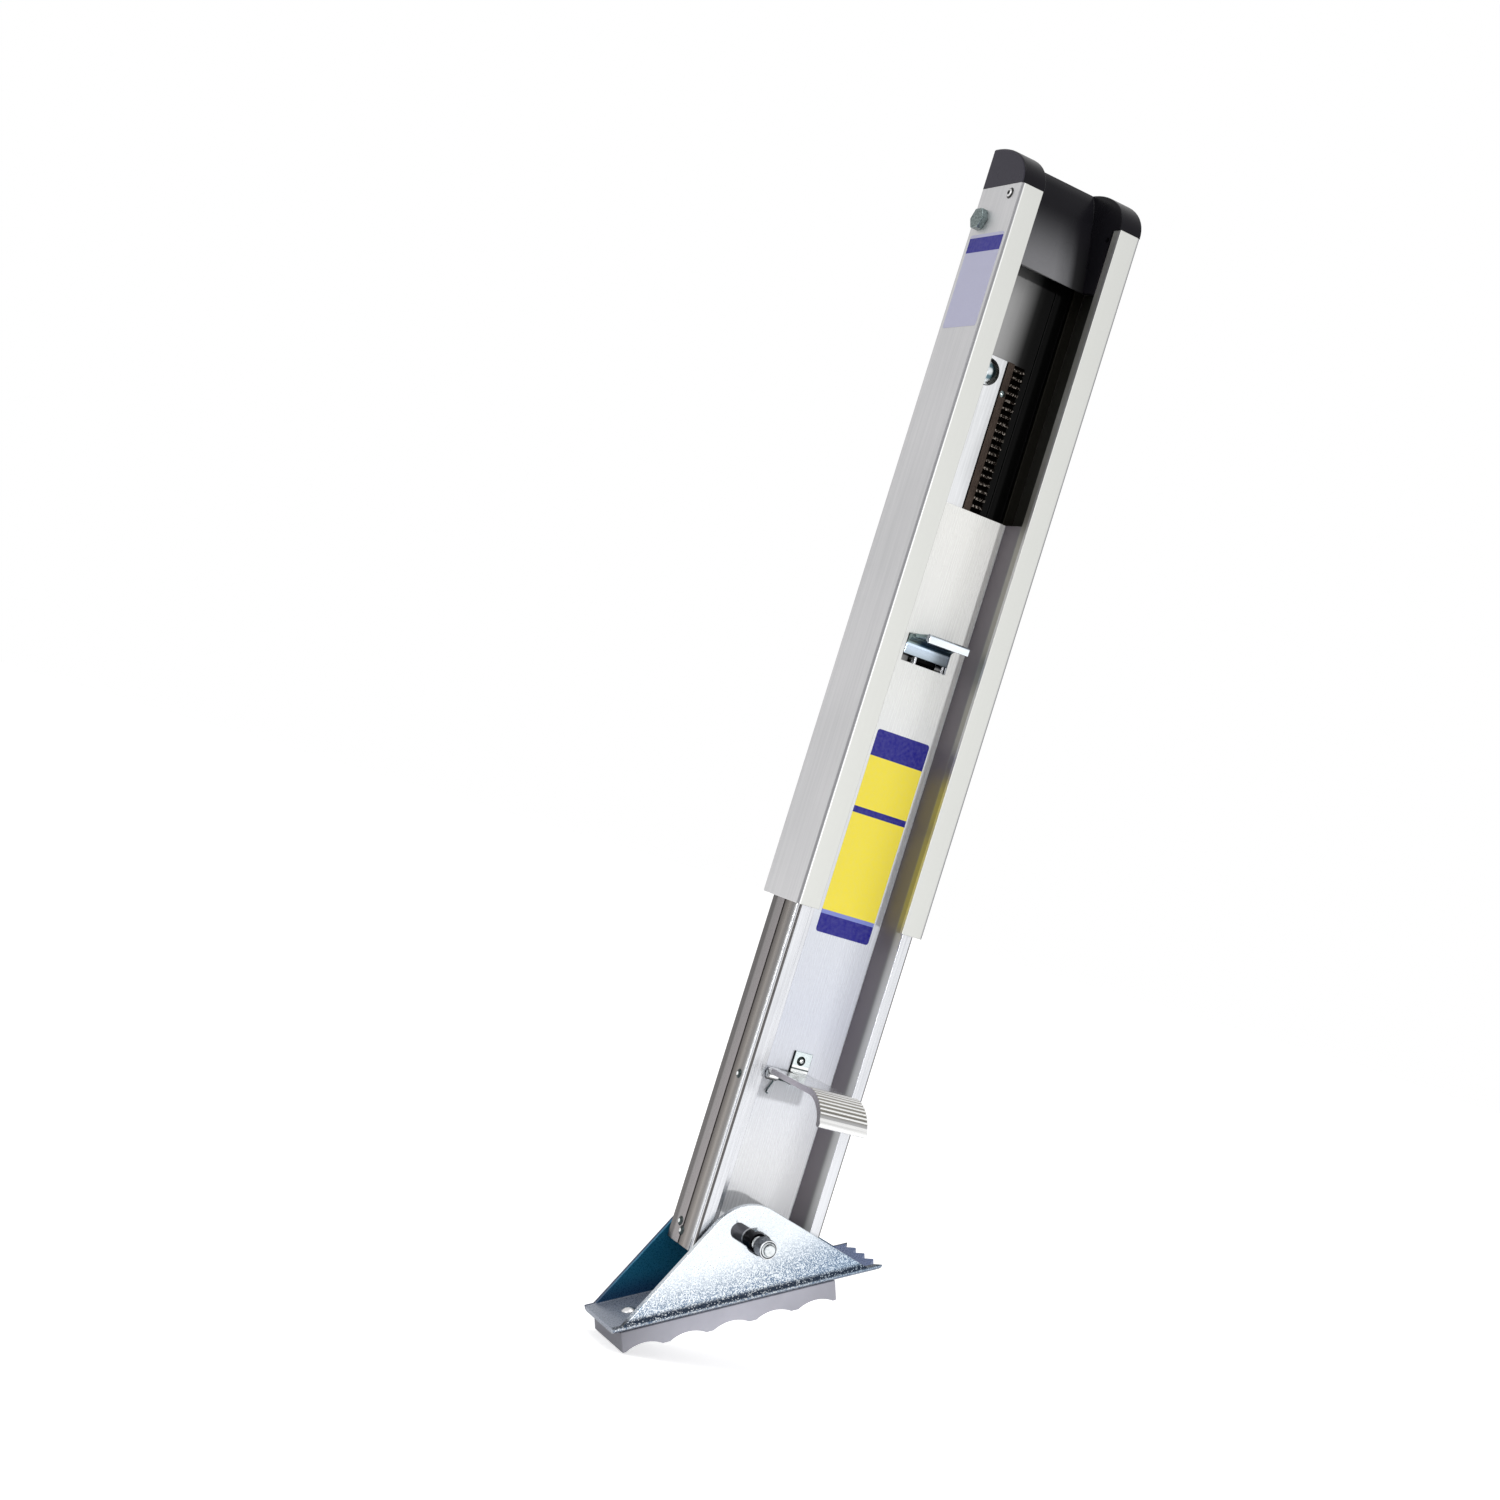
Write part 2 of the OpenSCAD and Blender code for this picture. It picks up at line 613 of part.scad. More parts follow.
module rack_rivets() {
    head_r = min(land_w / 2 - 0.1, rack_rivet_d * 0.8);
    color("dimgray") at_mount() for (h = rack_rivet_heights) translate([0, rack_rivet_y, h]) {
        rod_x(rack_rivet_d / 2, 0.1, strip_front + eps);
        dome_x(head_r, leg_rear - strip_front - slide_gap, strip_front, 1);
    }
}

module rail_bolts() {
    shank_end = -rail_web - washer_t - nut_h - collar_h - thread_out;
    color("silver") at_mount() for (h = bolt_heights) translate([0, bolt_y, h]) {
        dome_x(bolt_head_d / 2, bolt_head_h, strip_front, 1);
        rod_x(bolt_d / 2 - thread_cut, -slide_gap - eps, strip_front + eps);
        rod_x(bolt_d / 2, slide_gap - rail_web, -slide_gap);
        rod_x(bolt_d / 2 - thread_cut, shank_end, slide_gap - rail_web + eps);
    }
}

module rail_washers() {
    color("silver") at_mount() for (h = bolt_heights) translate([0, bolt_y, h]) difference() {
        rod_x(washer_d / 2, -rail_web - washer_t, -rail_web);
        rod_x(bolt_d / 2 + hole_gap, -rail_web - washer_t - 1, -rail_web + 1);
    }
}

// Each nut has a hexagon and a round collar that grips the thread
module rail_lock_nuts() {
    seat_x = -rail_web - washer_t;
    color("silver") at_mount() for (h = bolt_heights) translate([0, bolt_y, h]) difference() {
        union() {
            hex_x(nut_af, seat_x - nut_h, seat_x);
            rod_x(nut_af / 2 - 0.6, seat_x - nut_h - collar_h, seat_x - nut_h + eps);
        }
        rod_x(bolt_d / 2 - thread_cut + hole_gap, seat_x - nut_h - collar_h - 1, seat_x + 1);
    }
}

module lift_spring_inner() {
    color("darkgray") at_mount() wire(spring_line(spring_y_inner), wire_r);
    echo(str("least gap in a lift spring, mm: ", least_gap(spring_line(spring_y_inner), wire_d)));
}

module lift_spring_outer() {
    color("darkgray") at_mount() wire(spring_line(spring_y_outer), wire_r);
}

module box_outline(s) {
    rear_w = leg_half - rear_in;
    groove_x = (leg_rear + leg_front) / 2 - 2;
    mirror([0, s < 0 ? 1 : 0]) difference() {
        union() {
            translate([leg_rear, rear_in]) square([bay_rear - leg_rear + web_t, rear_w]);
            translate([s < 0 ? bay_rear : leg_rear, leg_in])
                square([leg_front - (s < 0 ? bay_rear : leg_rear), box_w]);
        }
        translate([leg_rear + box_wall, leg_in + box_wall + (rear_in - leg_in)])
            square([leg_front - leg_rear - 2 * box_wall, box_w - 2 * box_wall - (rear_in - leg_in)]);
        translate([leg_front - 3.5, leg_half - step_t]) square([5, 2]);
        translate([groove_x, leg_half - groove_t]) square([groove_w, 2]);
    }
}

module leg_outline() {
    for (s = [-1, 1]) box_outline(s);
    translate([web_rear, bay_right]) square([web_t, leg_in - bay_right + eps]);
    translate([web_rear, bay_right]) square([bay_front - web_rear, web_t]);
    translate([bay_rear, -leg_in - 1]) square([web_t, leg_in + 1 + bay_right + eps]);
    translate([leg_rear, -rear_in + half_bay]) square([bay_rear - leg_rear + eps, bay_rib_t]);
}

module inner_leg() {
    color("silver") at_mount() difference() {
        union() {
            translate([0, 0, leg_low_h]) linear_extrude(leg_len) leg_outline();
            for (y = [lever_rib_left, lever_rib_right])
                translate([leg_rear, y, lug_top_h])
                    cube([web_set + eps, leg_rib_t, leg_top_h - lug_top_h]);
            translate([leg_rear, bay_right, lug_h])
                cube([web_set + eps, leg_rib_t, lug_top_h - lug_h]);
        }
        translate([web_rear - eps, slot_left, slot_low_h]) cube([web_t + 1, slot_w, slot_h]);
        translate([pawl_pin_x, 0, pawl_pin_h])
            rod_y(pawl_pin_d / 2 + hole_gap, lever_rib_left - 1, lever_rib_right + leg_rib_t + 1);
        translate([anchor_x, 0, anchor_h])
            rod_y(anchor_pin_d / 2 + hole_gap, -leg_half + 3, bay_right + leg_rib_t + 1);
        translate([0, 0, pivot_h]) rod_x(pivot_d / 2 + hole_gap, 0, bay_front + 5);
        for (p = side_screws) translate([p[0], 0, p[1]])
            rod_y(screw_d / 2 + hole_gap, -leg_half - 1, -leg_half + 3);
        translate([0, bracket_mid, bracket_screw_h]) rod_x(screw_d / 2 + hole_gap, 0, bay_front);
    }
}

module spring_anchor_pin() {
    color("silver") at_mount() translate([anchor_x, 0, anchor_h])
        rod_y(anchor_pin_d / 2, -leg_half + 3 + seat, bay_right + leg_rib_t + 0.5);
}

module leg_screws() {
    color("silver") at_mount() for (p = side_screws) translate([p[0], 0, p[1]]) {
        rod_y(screw_d / 2, -leg_half - eps, -leg_half + 3 - seat);
        dome_y(screw_d * 0.85, screw_head_h, -leg_half, -1);
    }
}

module pedal_bracket() {
    foot = hinge_h - knuckle_d / 2;
    color("silver") at_mount() difference() {
        union() {
            translate([web_front, bracket_y, foot])
                cube([pedal_bracket_t, pedal_bracket_w, bracket_top_h - foot]);
            translate([web_front, bracket_y, foot])
                cube([hinge_x - web_front, pedal_bracket_w, knuckle_d]);
            translate([hinge_x, 0, hinge_h]) rod_y(knuckle_d / 2, bracket_y, bracket_right);
        }
        translate([hinge_x, 0, hinge_h]) rod_y(rod_d / 2 + hole_gap, bracket_y - 1, bracket_right + 1);
        translate([0, bracket_mid, bracket_screw_h])
            rod_x(screw_d / 2 + hole_gap, web_front - 1, web_front + pedal_bracket_t + 1);
    }
}

module bracket_screw() {
    front = web_front + pedal_bracket_t;
    color("silver") at_mount() translate([0, bracket_mid, bracket_screw_h]) {
        rod_x(screw_d / 2, web_rear - 0.5, front + eps);
        dome_x(screw_d * 0.85, screw_head_h, front, 1);
    }
}

module pedal_rod() {
    color("silver") at_mount() translate([hinge_x, 0, hinge_h])
        rod_y(rod_d / 2, knuckle_left - 0.4, pedal_half + 0.4);
}

module pedal_spring() {
    color("dimgray") at_mount() wire(pedal_spring_line, pedal_wire_d / 2);
    echo(str("least gap in the pedal spring, mm: ", least_gap(pedal_spring_line, pedal_wire_d)));
}

// Side outline of the pedal: a flat plate that bends down to a rounded nose
module pedal_outline() {
    top = -pedal_low;
    translate([pedal_root, top - pedal_t]) square([bend_x - pedal_root + eps, pedal_t]);
    translate([bend_x, top - bend_r]) intersection() {
        difference() {
            circle(r = bend_r, $fn = 96);
            circle(r = bend_r - pedal_t, $fn = 96);
        }
        polygon([[0, 0], [0, 2 * bend_r], [2 * bend_r * sin(bend_a), 2 * bend_r],
            [2 * bend_r * sin(bend_a), 2 * bend_r * cos(bend_a)]]);
    }
    nose = pedal_at(bend_len);
    translate([nose[0] - pedal_t / 2 * sin(bend_a), nose[1] - pedal_t / 2 * cos(bend_a)])
        circle(r = pedal_t * 0.6);
}

module foot_pedal() {
    color("silver") at_mount() difference() {
        union() {
            along_y(pedal_left, pedal_half) pedal_outline();
            for (k = [0:pedal_ribs - 1]) {
                p = pedal_at(bend_len - rib_start - grip_pitch * k);
                translate([p[0], 0, p[1]]) rod_y(grip_r, pedal_left, pedal_half);
            }
            for (span = knuckle_spans) {
                translate([hinge_x, 0, hinge_h]) rod_y(knuckle_d / 2, span[0], span[1]);
                translate([hinge_x, span[0], -pedal_low - pedal_t])
                    cube([pedal_root - hinge_x + 1, span[1] - span[0], pedal_t]);
            }
        }
        translate([hinge_x, 0, hinge_h]) rod_y(rod_d / 2 + hole_gap, -pedal_half - 1, pedal_half + 1);
    }
}

module release_lever() {
    out_x = web_rear + slide_gap;
    low = tab_top_h - tab_t;
    color("lightsteelblue") at_mount() difference() {
        union() {
            along_y(pawl_left, pawl_right) {
                translate([sheet_x, pawl_pin_h + 2.5]) square([tab_t, tab_top_h - pawl_pin_h - 2.5]);
                translate([sheet_x, low]) square([tab_reach - sheet_x - 1, tab_t]);
                difference() {
                    translate([sheet_x + tab_t - eps, low - fold_r]) square([fold_r, fold_r + eps]);
                    translate([sheet_x + tab_t + fold_r, low - fold_r]) circle(r = fold_r);
                }
            }
            along_y(pawl_left, pawl_left + sleeve_len)
                translate([sheet_x, pawl_pin_h]) square([tab_t, 3]);
            translate([pawl_pin_x, 0, pawl_pin_h])
                rod_y(pawl_pin_d / 2 + 0.95, pawl_left, pawl_left + sleeve_len);
            along_y(slot_left + slide_gap, slot_right - slide_gap) {
                translate([out_x, low]) square([apron_t + apron_r, tab_t]);
                translate([out_x, low - apron_len]) square([apron_t, apron_len + eps]);
                translate([out_x + apron_t - eps, low - apron_r]) difference() {
                    square([apron_r, apron_r + eps]);
                    translate([apron_r, 0]) circle(r = apron_r, $fn = 64);
                }
            }
            along_y(lip_left, lip_right) {
                polygon([[web_front + 1, low], [tab_reach - 1, low + tab_rise],
                    [tab_reach - 1, low + tab_rise + tab_t - 0.3], [web_front + 1, tab_top_h]]);
                translate([tab_reach - tab_t, tab_top_h + tab_rise - tab_lip]) square([tab_t, tab_lip - 1]);
                translate([tab_reach - tab_t, tab_top_h + tab_rise - tab_t]) circle(r = tab_t);
            }
        }
        translate([pawl_pin_x, 0, pawl_pin_h])
            rod_y(pawl_pin_d / 2 + hole_gap, pawl_left - 1, pawl_right + 1);
    }
}

module ratchet_pawl() {
    low = pawl_pin_h + 3;
    top = low + 2 * tooth_pitch + 0.6;
    root = pawl_tip + tooth_depth;
    tips = [for (k = [0:1]) let (z = low + 0.6 + k * tooth_pitch)
        each [[root, z], [pawl_tip, z + 0.5 * tooth_pitch], [pawl_tip, z + 0.75 * tooth_pitch],
            [root, z + 0.8 * tooth_pitch]]];
    color("dimgray") at_mount()
        along_y(teeth_left + slide_gap, rack_right - slide_gap)
            polygon(concat([[sheet_x - seat, low], [root, low]], tips,
                [[root, top], [sheet_x - seat, top]]));
}

module pawl_pin() {
    color("silver") at_mount() translate([pawl_pin_x, 0, pawl_pin_h])
        rod_y(pawl_pin_d / 2, lever_rib_left, lever_rib_right + leg_rib_t);
}

module pawl_spring() {
    color("dimgray") at_mount() {
        translate([pawl_pin_x, 0, pawl_pin_h]) difference() {
            rod_y(pawl_pin_d / 2 + 0.75, pawl_left + sleeve_len + slide_gap, pawl_right);
            rod_y(pawl_pin_d / 2 + hole_gap, pawl_left + sleeve_len, pawl_right + 1);
        }
        translate([pawl_pin_x - 1.4, pawl_right - 0.5, pawl_pin_h + 0.6]) cylinder(r = 0.3, h = 7);
        translate([pawl_pin_x + 1.2, pawl_right - 0.5, pawl_pin_h - 8]) cylinder(r = 0.3, h = 7.5);
    }
}

module pivot_bolt() {
    head_r = pivot_d / 2 + 2.6;
    color("silver") at_mount() translate([0, 0, pivot_h]) {
        rod_x(head_r, shoe_rear - slide_gap - 3, shoe_rear - slide_gap);
        rod_x(pivot_d / 2, shoe_rear - slide_gap - eps, shoe_front + pivot_out - pivot_chamfer);
        translate([shoe_front + pivot_out - pivot_chamfer - eps, 0, 0]) rotate([0, 90, 0])
            cylinder(r1 = pivot_d / 2, r2 = pivot_d / 2 - pivot_chamfer, h = pivot_chamfer + eps);
    }
}

module pivot_spacer() {
    color("silver") at_mount() translate([0, 0, pivot_h]) difference() {
        rod_x(pivot_d / 2 + 2.4, shoe_rear + plate_t + slide_gap, web_rear - slide_gap);
        rod_x(pivot_d / 2 + hole_gap, 0, web_rear + 1);
    }
}

module pivot_sleeve() {
    color("silver") at_mount() translate([0, 0, pivot_h]) difference() {
        rod_x(sleeve_d / 2, web_front + slide_gap, shoe_front - plate_t - slide_gap);
        rod_x(pivot_d / 2 + hole_gap, web_front, shoe_front);
    }
}

module pivot_collar() {
    color("silver") at_mount() translate([0, 0, pivot_h]) difference() {
        rod_x(sleeve_d / 2, shoe_front + slide_gap, shoe_front + pivot_out - pivot_tip);
        rod_x(pivot_d / 2 + hole_gap, shoe_front, shoe_front + pivot_out);
    }
}

// The shoe is drawn with the pivot at its origin, its toe along +Y, and then tilted
module on_shoe() {
    at_mount() translate([0, 0, pivot_h]) rotate([shoe_tilt, 0, 0]) children();
}

// Point where a line from p touches the circle of radius r about c, on the side s
function touch(c, r, p, s) = let (v = p - c, a = atan2(v[1], v[0]) + s * acos(r / norm(v)))
    c + r * [cos(a), sin(a)];

// Slot from the pivot along the slot's angle
module slot_outline(r, travel) {
    circle(r = r);
    rotate(slot_angle) {
        translate([0, -r]) square([travel, 2 * r]);
        translate([travel, 0]) circle(r = r);
    }
}

module shoe_plate_outline() {
    heel = [5 - heel_len, shoe_floor];
    toe = [toe_len - 9, shoe_floor];
    crown = [-crown_back, shoe_top - crown_r];
    difference() {
        union() {
            polygon([[heel[0], -shoe_low], [toe[0], -shoe_low], toe, touch(crown, crown_r, toe, 1),
                crown, touch(crown, crown_r, heel, -1), heel]);
            translate(crown) circle(r = crown_r, $fn = 96);
        }
        slot_outline(wide_r, wide_travel);
        slot_outline(shoe_slot_w / 2, slot_travel);
    }
}

module shoe() {
    tooth = shoe_w / 4;
    color("lightsteelblue") on_shoe() difference() {
        union() {
            along_x(shoe_rear, shoe_rear + plate_t) shoe_plate_outline();
            along_x(shoe_front - plate_t, shoe_front) shoe_plate_outline();
            translate([0, 0, -shoe_low]) linear_extrude(plate_t) polygon(concat(
                [[shoe_rear, -heel_len], [shoe_front, -heel_len]],
                [for (k = [3:-1:0]) each [[shoe_rear + tooth * (k + 1), toe_len],
                    [shoe_rear + tooth * (k + 0.5), toe_len - 5]]],
                [[shoe_rear, toe_len]]));
        }
        for (y = pad_rivet_ys) translate([shoe_mid, y, -shoe_low - 1])
            cylinder(r = pad_rivet_d / 2 + hole_gap, h = plate_t + 2);
    }
}

module tread_pad() {
    color("gray") on_shoe() difference() {
        along_x(shoe_rear + 1, shoe_front - 1) difference() {
            translate([-pad_heel, -shoe_low - pad_t]) square([pad_len, pad_t]);
            for (y = arch_ys) translate([y, -shoe_low - pad_t + arch_t - arch_r])
                circle(r = arch_r, $fn = 96);
        }
        for (y = pad_rivet_ys) translate([shoe_mid, y, -shoe_low - pad_t])
            cylinder(r = pad_rivet_d / 2 + hole_gap, h = pad_t + 1);
    }
}

module pad_rivets() {
    tail_r = pad_rivet_d * 0.9;
    under = -shoe_low - pad_t + arch_t - arch_r + sqrt(arch_r * arch_r - tail_r * tail_r) - seat;
    color("silver") on_shoe() for (y = pad_rivet_ys) translate([shoe_mid, y, 0]) {
        translate([0, 0, under - eps]) cylinder(r = pad_rivet_d / 2, h = shoe_floor - under + 2 * eps);
        translate([0, 0, shoe_floor]) rotate_extrude() dome_outline(pad_rivet_d, 1.6);
        translate([0, 0, under - 1.2]) cylinder(r = tail_r, h = 1.2);
    }
}

housing_channel();
end_cap();
cap_rivets();
cross_bolt();
cross_bolt_nut();
backing_strip();
rack();
rack_rivets();
rail_bolts();
rail_washers();
rail_lock_nuts();
lift_spring_inner();
lift_spring_outer();
inner_leg();
spring_anchor_pin();
leg_screws();
pedal_bracket();
bracket_screw();
pedal_rod();
pedal_spring();
foot_pedal();
release_lever();
ratchet_pawl();
pawl_pin();
pawl_spring();
pivot_bolt();
pivot_spacer();
pivot_sleeve();
pivot_collar();
shoe();
tread_pad();
pad_rivets();
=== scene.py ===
# Ladder leveller: soft edges, threads, springs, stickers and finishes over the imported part.
# Shapes are in millimetres, and their heights h count from the housing's lower end.
# Finishes are in metres of the shared frame.
import json
from math import cos, pi, radians, sin

import bmesh
import bpy
from mathutils import Matrix, Vector


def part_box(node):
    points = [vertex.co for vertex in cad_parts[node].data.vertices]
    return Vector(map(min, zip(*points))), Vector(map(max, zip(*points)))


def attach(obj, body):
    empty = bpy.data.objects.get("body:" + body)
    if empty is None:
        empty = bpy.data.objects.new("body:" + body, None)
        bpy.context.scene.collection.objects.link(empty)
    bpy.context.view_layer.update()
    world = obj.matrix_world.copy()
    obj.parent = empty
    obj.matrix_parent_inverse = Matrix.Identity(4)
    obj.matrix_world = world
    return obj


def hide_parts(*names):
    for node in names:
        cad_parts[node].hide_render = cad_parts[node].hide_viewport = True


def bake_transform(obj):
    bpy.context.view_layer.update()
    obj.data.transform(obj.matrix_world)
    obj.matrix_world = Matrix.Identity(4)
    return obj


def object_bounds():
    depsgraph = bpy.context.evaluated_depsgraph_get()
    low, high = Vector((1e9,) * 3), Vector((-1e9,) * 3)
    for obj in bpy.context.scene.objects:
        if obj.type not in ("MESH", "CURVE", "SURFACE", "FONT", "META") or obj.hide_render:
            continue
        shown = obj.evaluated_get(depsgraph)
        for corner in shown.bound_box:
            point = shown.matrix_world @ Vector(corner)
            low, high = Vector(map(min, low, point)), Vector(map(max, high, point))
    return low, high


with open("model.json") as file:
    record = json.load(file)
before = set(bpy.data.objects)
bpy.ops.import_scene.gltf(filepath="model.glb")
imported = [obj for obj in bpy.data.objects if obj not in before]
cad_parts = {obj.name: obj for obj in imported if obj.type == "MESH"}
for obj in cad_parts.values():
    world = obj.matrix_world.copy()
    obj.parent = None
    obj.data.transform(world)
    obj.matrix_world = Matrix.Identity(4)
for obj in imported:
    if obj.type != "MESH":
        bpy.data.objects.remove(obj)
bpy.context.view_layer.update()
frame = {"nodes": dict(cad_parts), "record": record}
print("frame loaded")

mountHeight = 242  # of the frame's origin above the housing's lower end
shoeTilt = 23  # degrees between the shoe's base and the level
usualSmooth = 40  # degrees, under which an edge shades smooth


def at(x, y, h):
    return Vector((x, y, h - mountHeight)) / 1000


def newObject(name, data):
    thing = bpy.data.objects.new(name, data)
    bpy.context.collection.objects.link(thing)
    return thing


def meshFrom(bm, name):
    mesh = bpy.data.meshes.new(name)
    bm.to_mesh(mesh)
    bm.free()
    return mesh


def facing(centre, axis):
    # A matrix at a centre, its Z along an axis
    return Matrix.Translation(centre) @ axis.to_track_quat("Z", "Y").to_matrix().to_4x4()


# Nodes
def newFinish(name, roughness, metallic=0.0):
    mat = bpy.data.materials.new(name)
    mat.use_nodes = True
    tree = mat.node_tree
    shader = tree.nodes["Principled BSDF"]
    shader.inputs["Metallic"].default_value = metallic
    shader.inputs["Roughness"].default_value = roughness
    return mat, tree, shader


def feed(tree, entry, value):
    # Gives an input another node's output, a colour or a number
    if isinstance(value, bpy.types.NodeSocket):
        tree.links.new(value, entry)
    else:
        entry.default_value = (*value, 1) if isinstance(value, tuple) else value


def place(tree, stretch=(1, 1, 1), turn=0):
    # Object coordinates, stretched so that a larger number makes a finer grain, and turned about X
    coord = tree.nodes.new("ShaderNodeTexCoord")
    mapping = tree.nodes.new("ShaderNodeMapping")
    mapping.inputs["Scale"].default_value = stretch
    mapping.inputs["Rotation"].default_value = (radians(turn), 0, 0)
    tree.links.new(coord.outputs["Object"], mapping.inputs["Vector"])
    return mapping.outputs["Vector"]


def axisOf(tree, letter, where=None):
    # One coordinate, or the distance from the centre plane for the letter "side"
    node = tree.nodes.new("ShaderNodeSeparateXYZ")
    tree.links.new(place(tree) if where is None else where, node.inputs[0])
    if letter == "side":
        return mathNode(tree, "ABSOLUTE", node.outputs["Y"])
    return node.outputs[letter]


def noise(tree, size, detail=3.0, stretch=(1, 1, 1)):
    node = tree.nodes.new("ShaderNodeTexNoise")
    node.inputs["Scale"].default_value = size
    node.inputs["Detail"].default_value = detail
    tree.links.new(place(tree, stretch), node.inputs["Vector"])
    return node.outputs["Fac"]


def mathNode(tree, kind, first, second=0.0):
    node = tree.nodes.new("ShaderNodeMath")
    node.operation = kind
    feed(tree, node.inputs[0], first)
    feed(tree, node.inputs[1], second)
    return node.outputs[0]


def times(tree, first, *others):
    for other in others:
        first = mathNode(tree, "MULTIPLY", first, other)
    return first


def between(tree, value, low, high, toLow, toHigh, smooth=False):
    node = tree.nodes.new("ShaderNodeMapRange")
    node.interpolation_type = "SMOOTHSTEP" if smooth else "LINEAR"
    for key, number in (("From Min", low), ("From Max", high), ("To Min", toLow), ("To Max", toHigh)):
        node.inputs[key].default_value = number
    tree.links.new(value, node.inputs["Value"])
    return node.outputs["Result"]


def gate(tree, value, low, high, blur=0.0002):
    # 1 where a value lies between two others, with soft ends
    return times(tree, between(tree, value, low - blur, low + blur, 0, 1),
                 between(tree, value, high - blur, high + blur, 1, 0))


def within(tree, letter, *limits):
    return gate(tree, axisOf(tree, letter), *limits)


def mixed(tree, amount, first, second, kind="MIX"):
    node = tree.nodes.new("ShaderNodeMix")
    node.data_type = "RGBA"
    node.blend_type = kind
    for index, part in ((0, amount), (6, first), (7, second)):
        feed(tree, node.inputs[index], part)
    return node.outputs[2]


def ramp(tree, value, stops):
    # Colours along one measure: stops are (place, grey) or (place, (red, green, blue))
    low, high = stops[0][0], stops[-1][0]
    node = tree.nodes.new("ShaderNodeValToRGB")
    tree.links.new(between(tree, value, low, high, 0, 1), node.inputs["Fac"])
    points = node.color_ramp.elements
    for spot, colour in stops[1:-1]:
        points.new((spot - low) / (high - low))
    for point, (spot, colour) in zip(points, stops):
        point.color = (*colour, 1) if isinstance(colour, tuple) else (colour, colour, colour, 1)
    return node.outputs["Color"]


def vectorNode(tree, kind, first, second=None):
    node = tree.nodes.new("ShaderNodeVectorMath")
    node.operation = kind
    tree.links.new(first, node.inputs[0])
    if second is not None:
        node.inputs[1].default_value = second
    return node.outputs["Value" if kind == "LENGTH" else "Vector"]


def ringMask(tree, centre, flat, low, high, blur=0.00012):
    # 1 between two distances from a centre; flat is 0 along the axis that doesn't count
    away = vectorNode(tree, "SUBTRACT", place(tree), centre)
    reach = vectorNode(tree, "LENGTH", vectorNode(tree, "MULTIPLY", away, flat))
    return gate(tree, reach, low, high, blur)


def bump(tree, shader, height, strength, depth=0.0002):
    node = tree.nodes.new("ShaderNodeBump")
    node.inputs["Strength"].default_value = strength
    node.inputs["Distance"].default_value = depth
    tree.links.new(height, node.inputs["Height"])
    tree.links.new(node.outputs["Normal"], shader.inputs["Normal"])


# Paint: rows that say where a colour lies on a finish. A span is (axis, from, to), with its blur where that
# isn't the usual one; a fade is (axis, from, to, first value, last value); a ring is what ringMask takes.
# The colour is one colour, or ramps along axes that are multiplied together.
def zone(tree, row):
    parts = [within(tree, *span) for span in row.get("spans", ())]
    parts += [between(tree, axisOf(tree, letter), *ends, True) for letter, *ends in row.get("fades", ())]
    parts += [ringMask(tree, *row["ring"])] if "ring" in row else []
    parts += [row["amount"]] if "amount" in row else []
    return times(tree, *parts)


def laidOver(mat, mask, colour):
    tree = mat.node_tree
    entry = tree.nodes["Principled BSDF"].inputs["Base Color"]
    tree.links.new(mixed(tree, mask, entry.links[0].from_socket, colour), entry)


def painted(mat, rows):
    tree = mat.node_tree
    for row in rows:
        colour = row.get("colour")
        for letter, stops in row.get("along", {}).items():
            tone = ramp(tree, axisOf(tree, letter), stops)
            colour = tone if colour is None else mixed(tree, 1.0, colour, tone, "MULTIPLY")
        laidOver(mat, zone(tree, row), colour)
    return mat


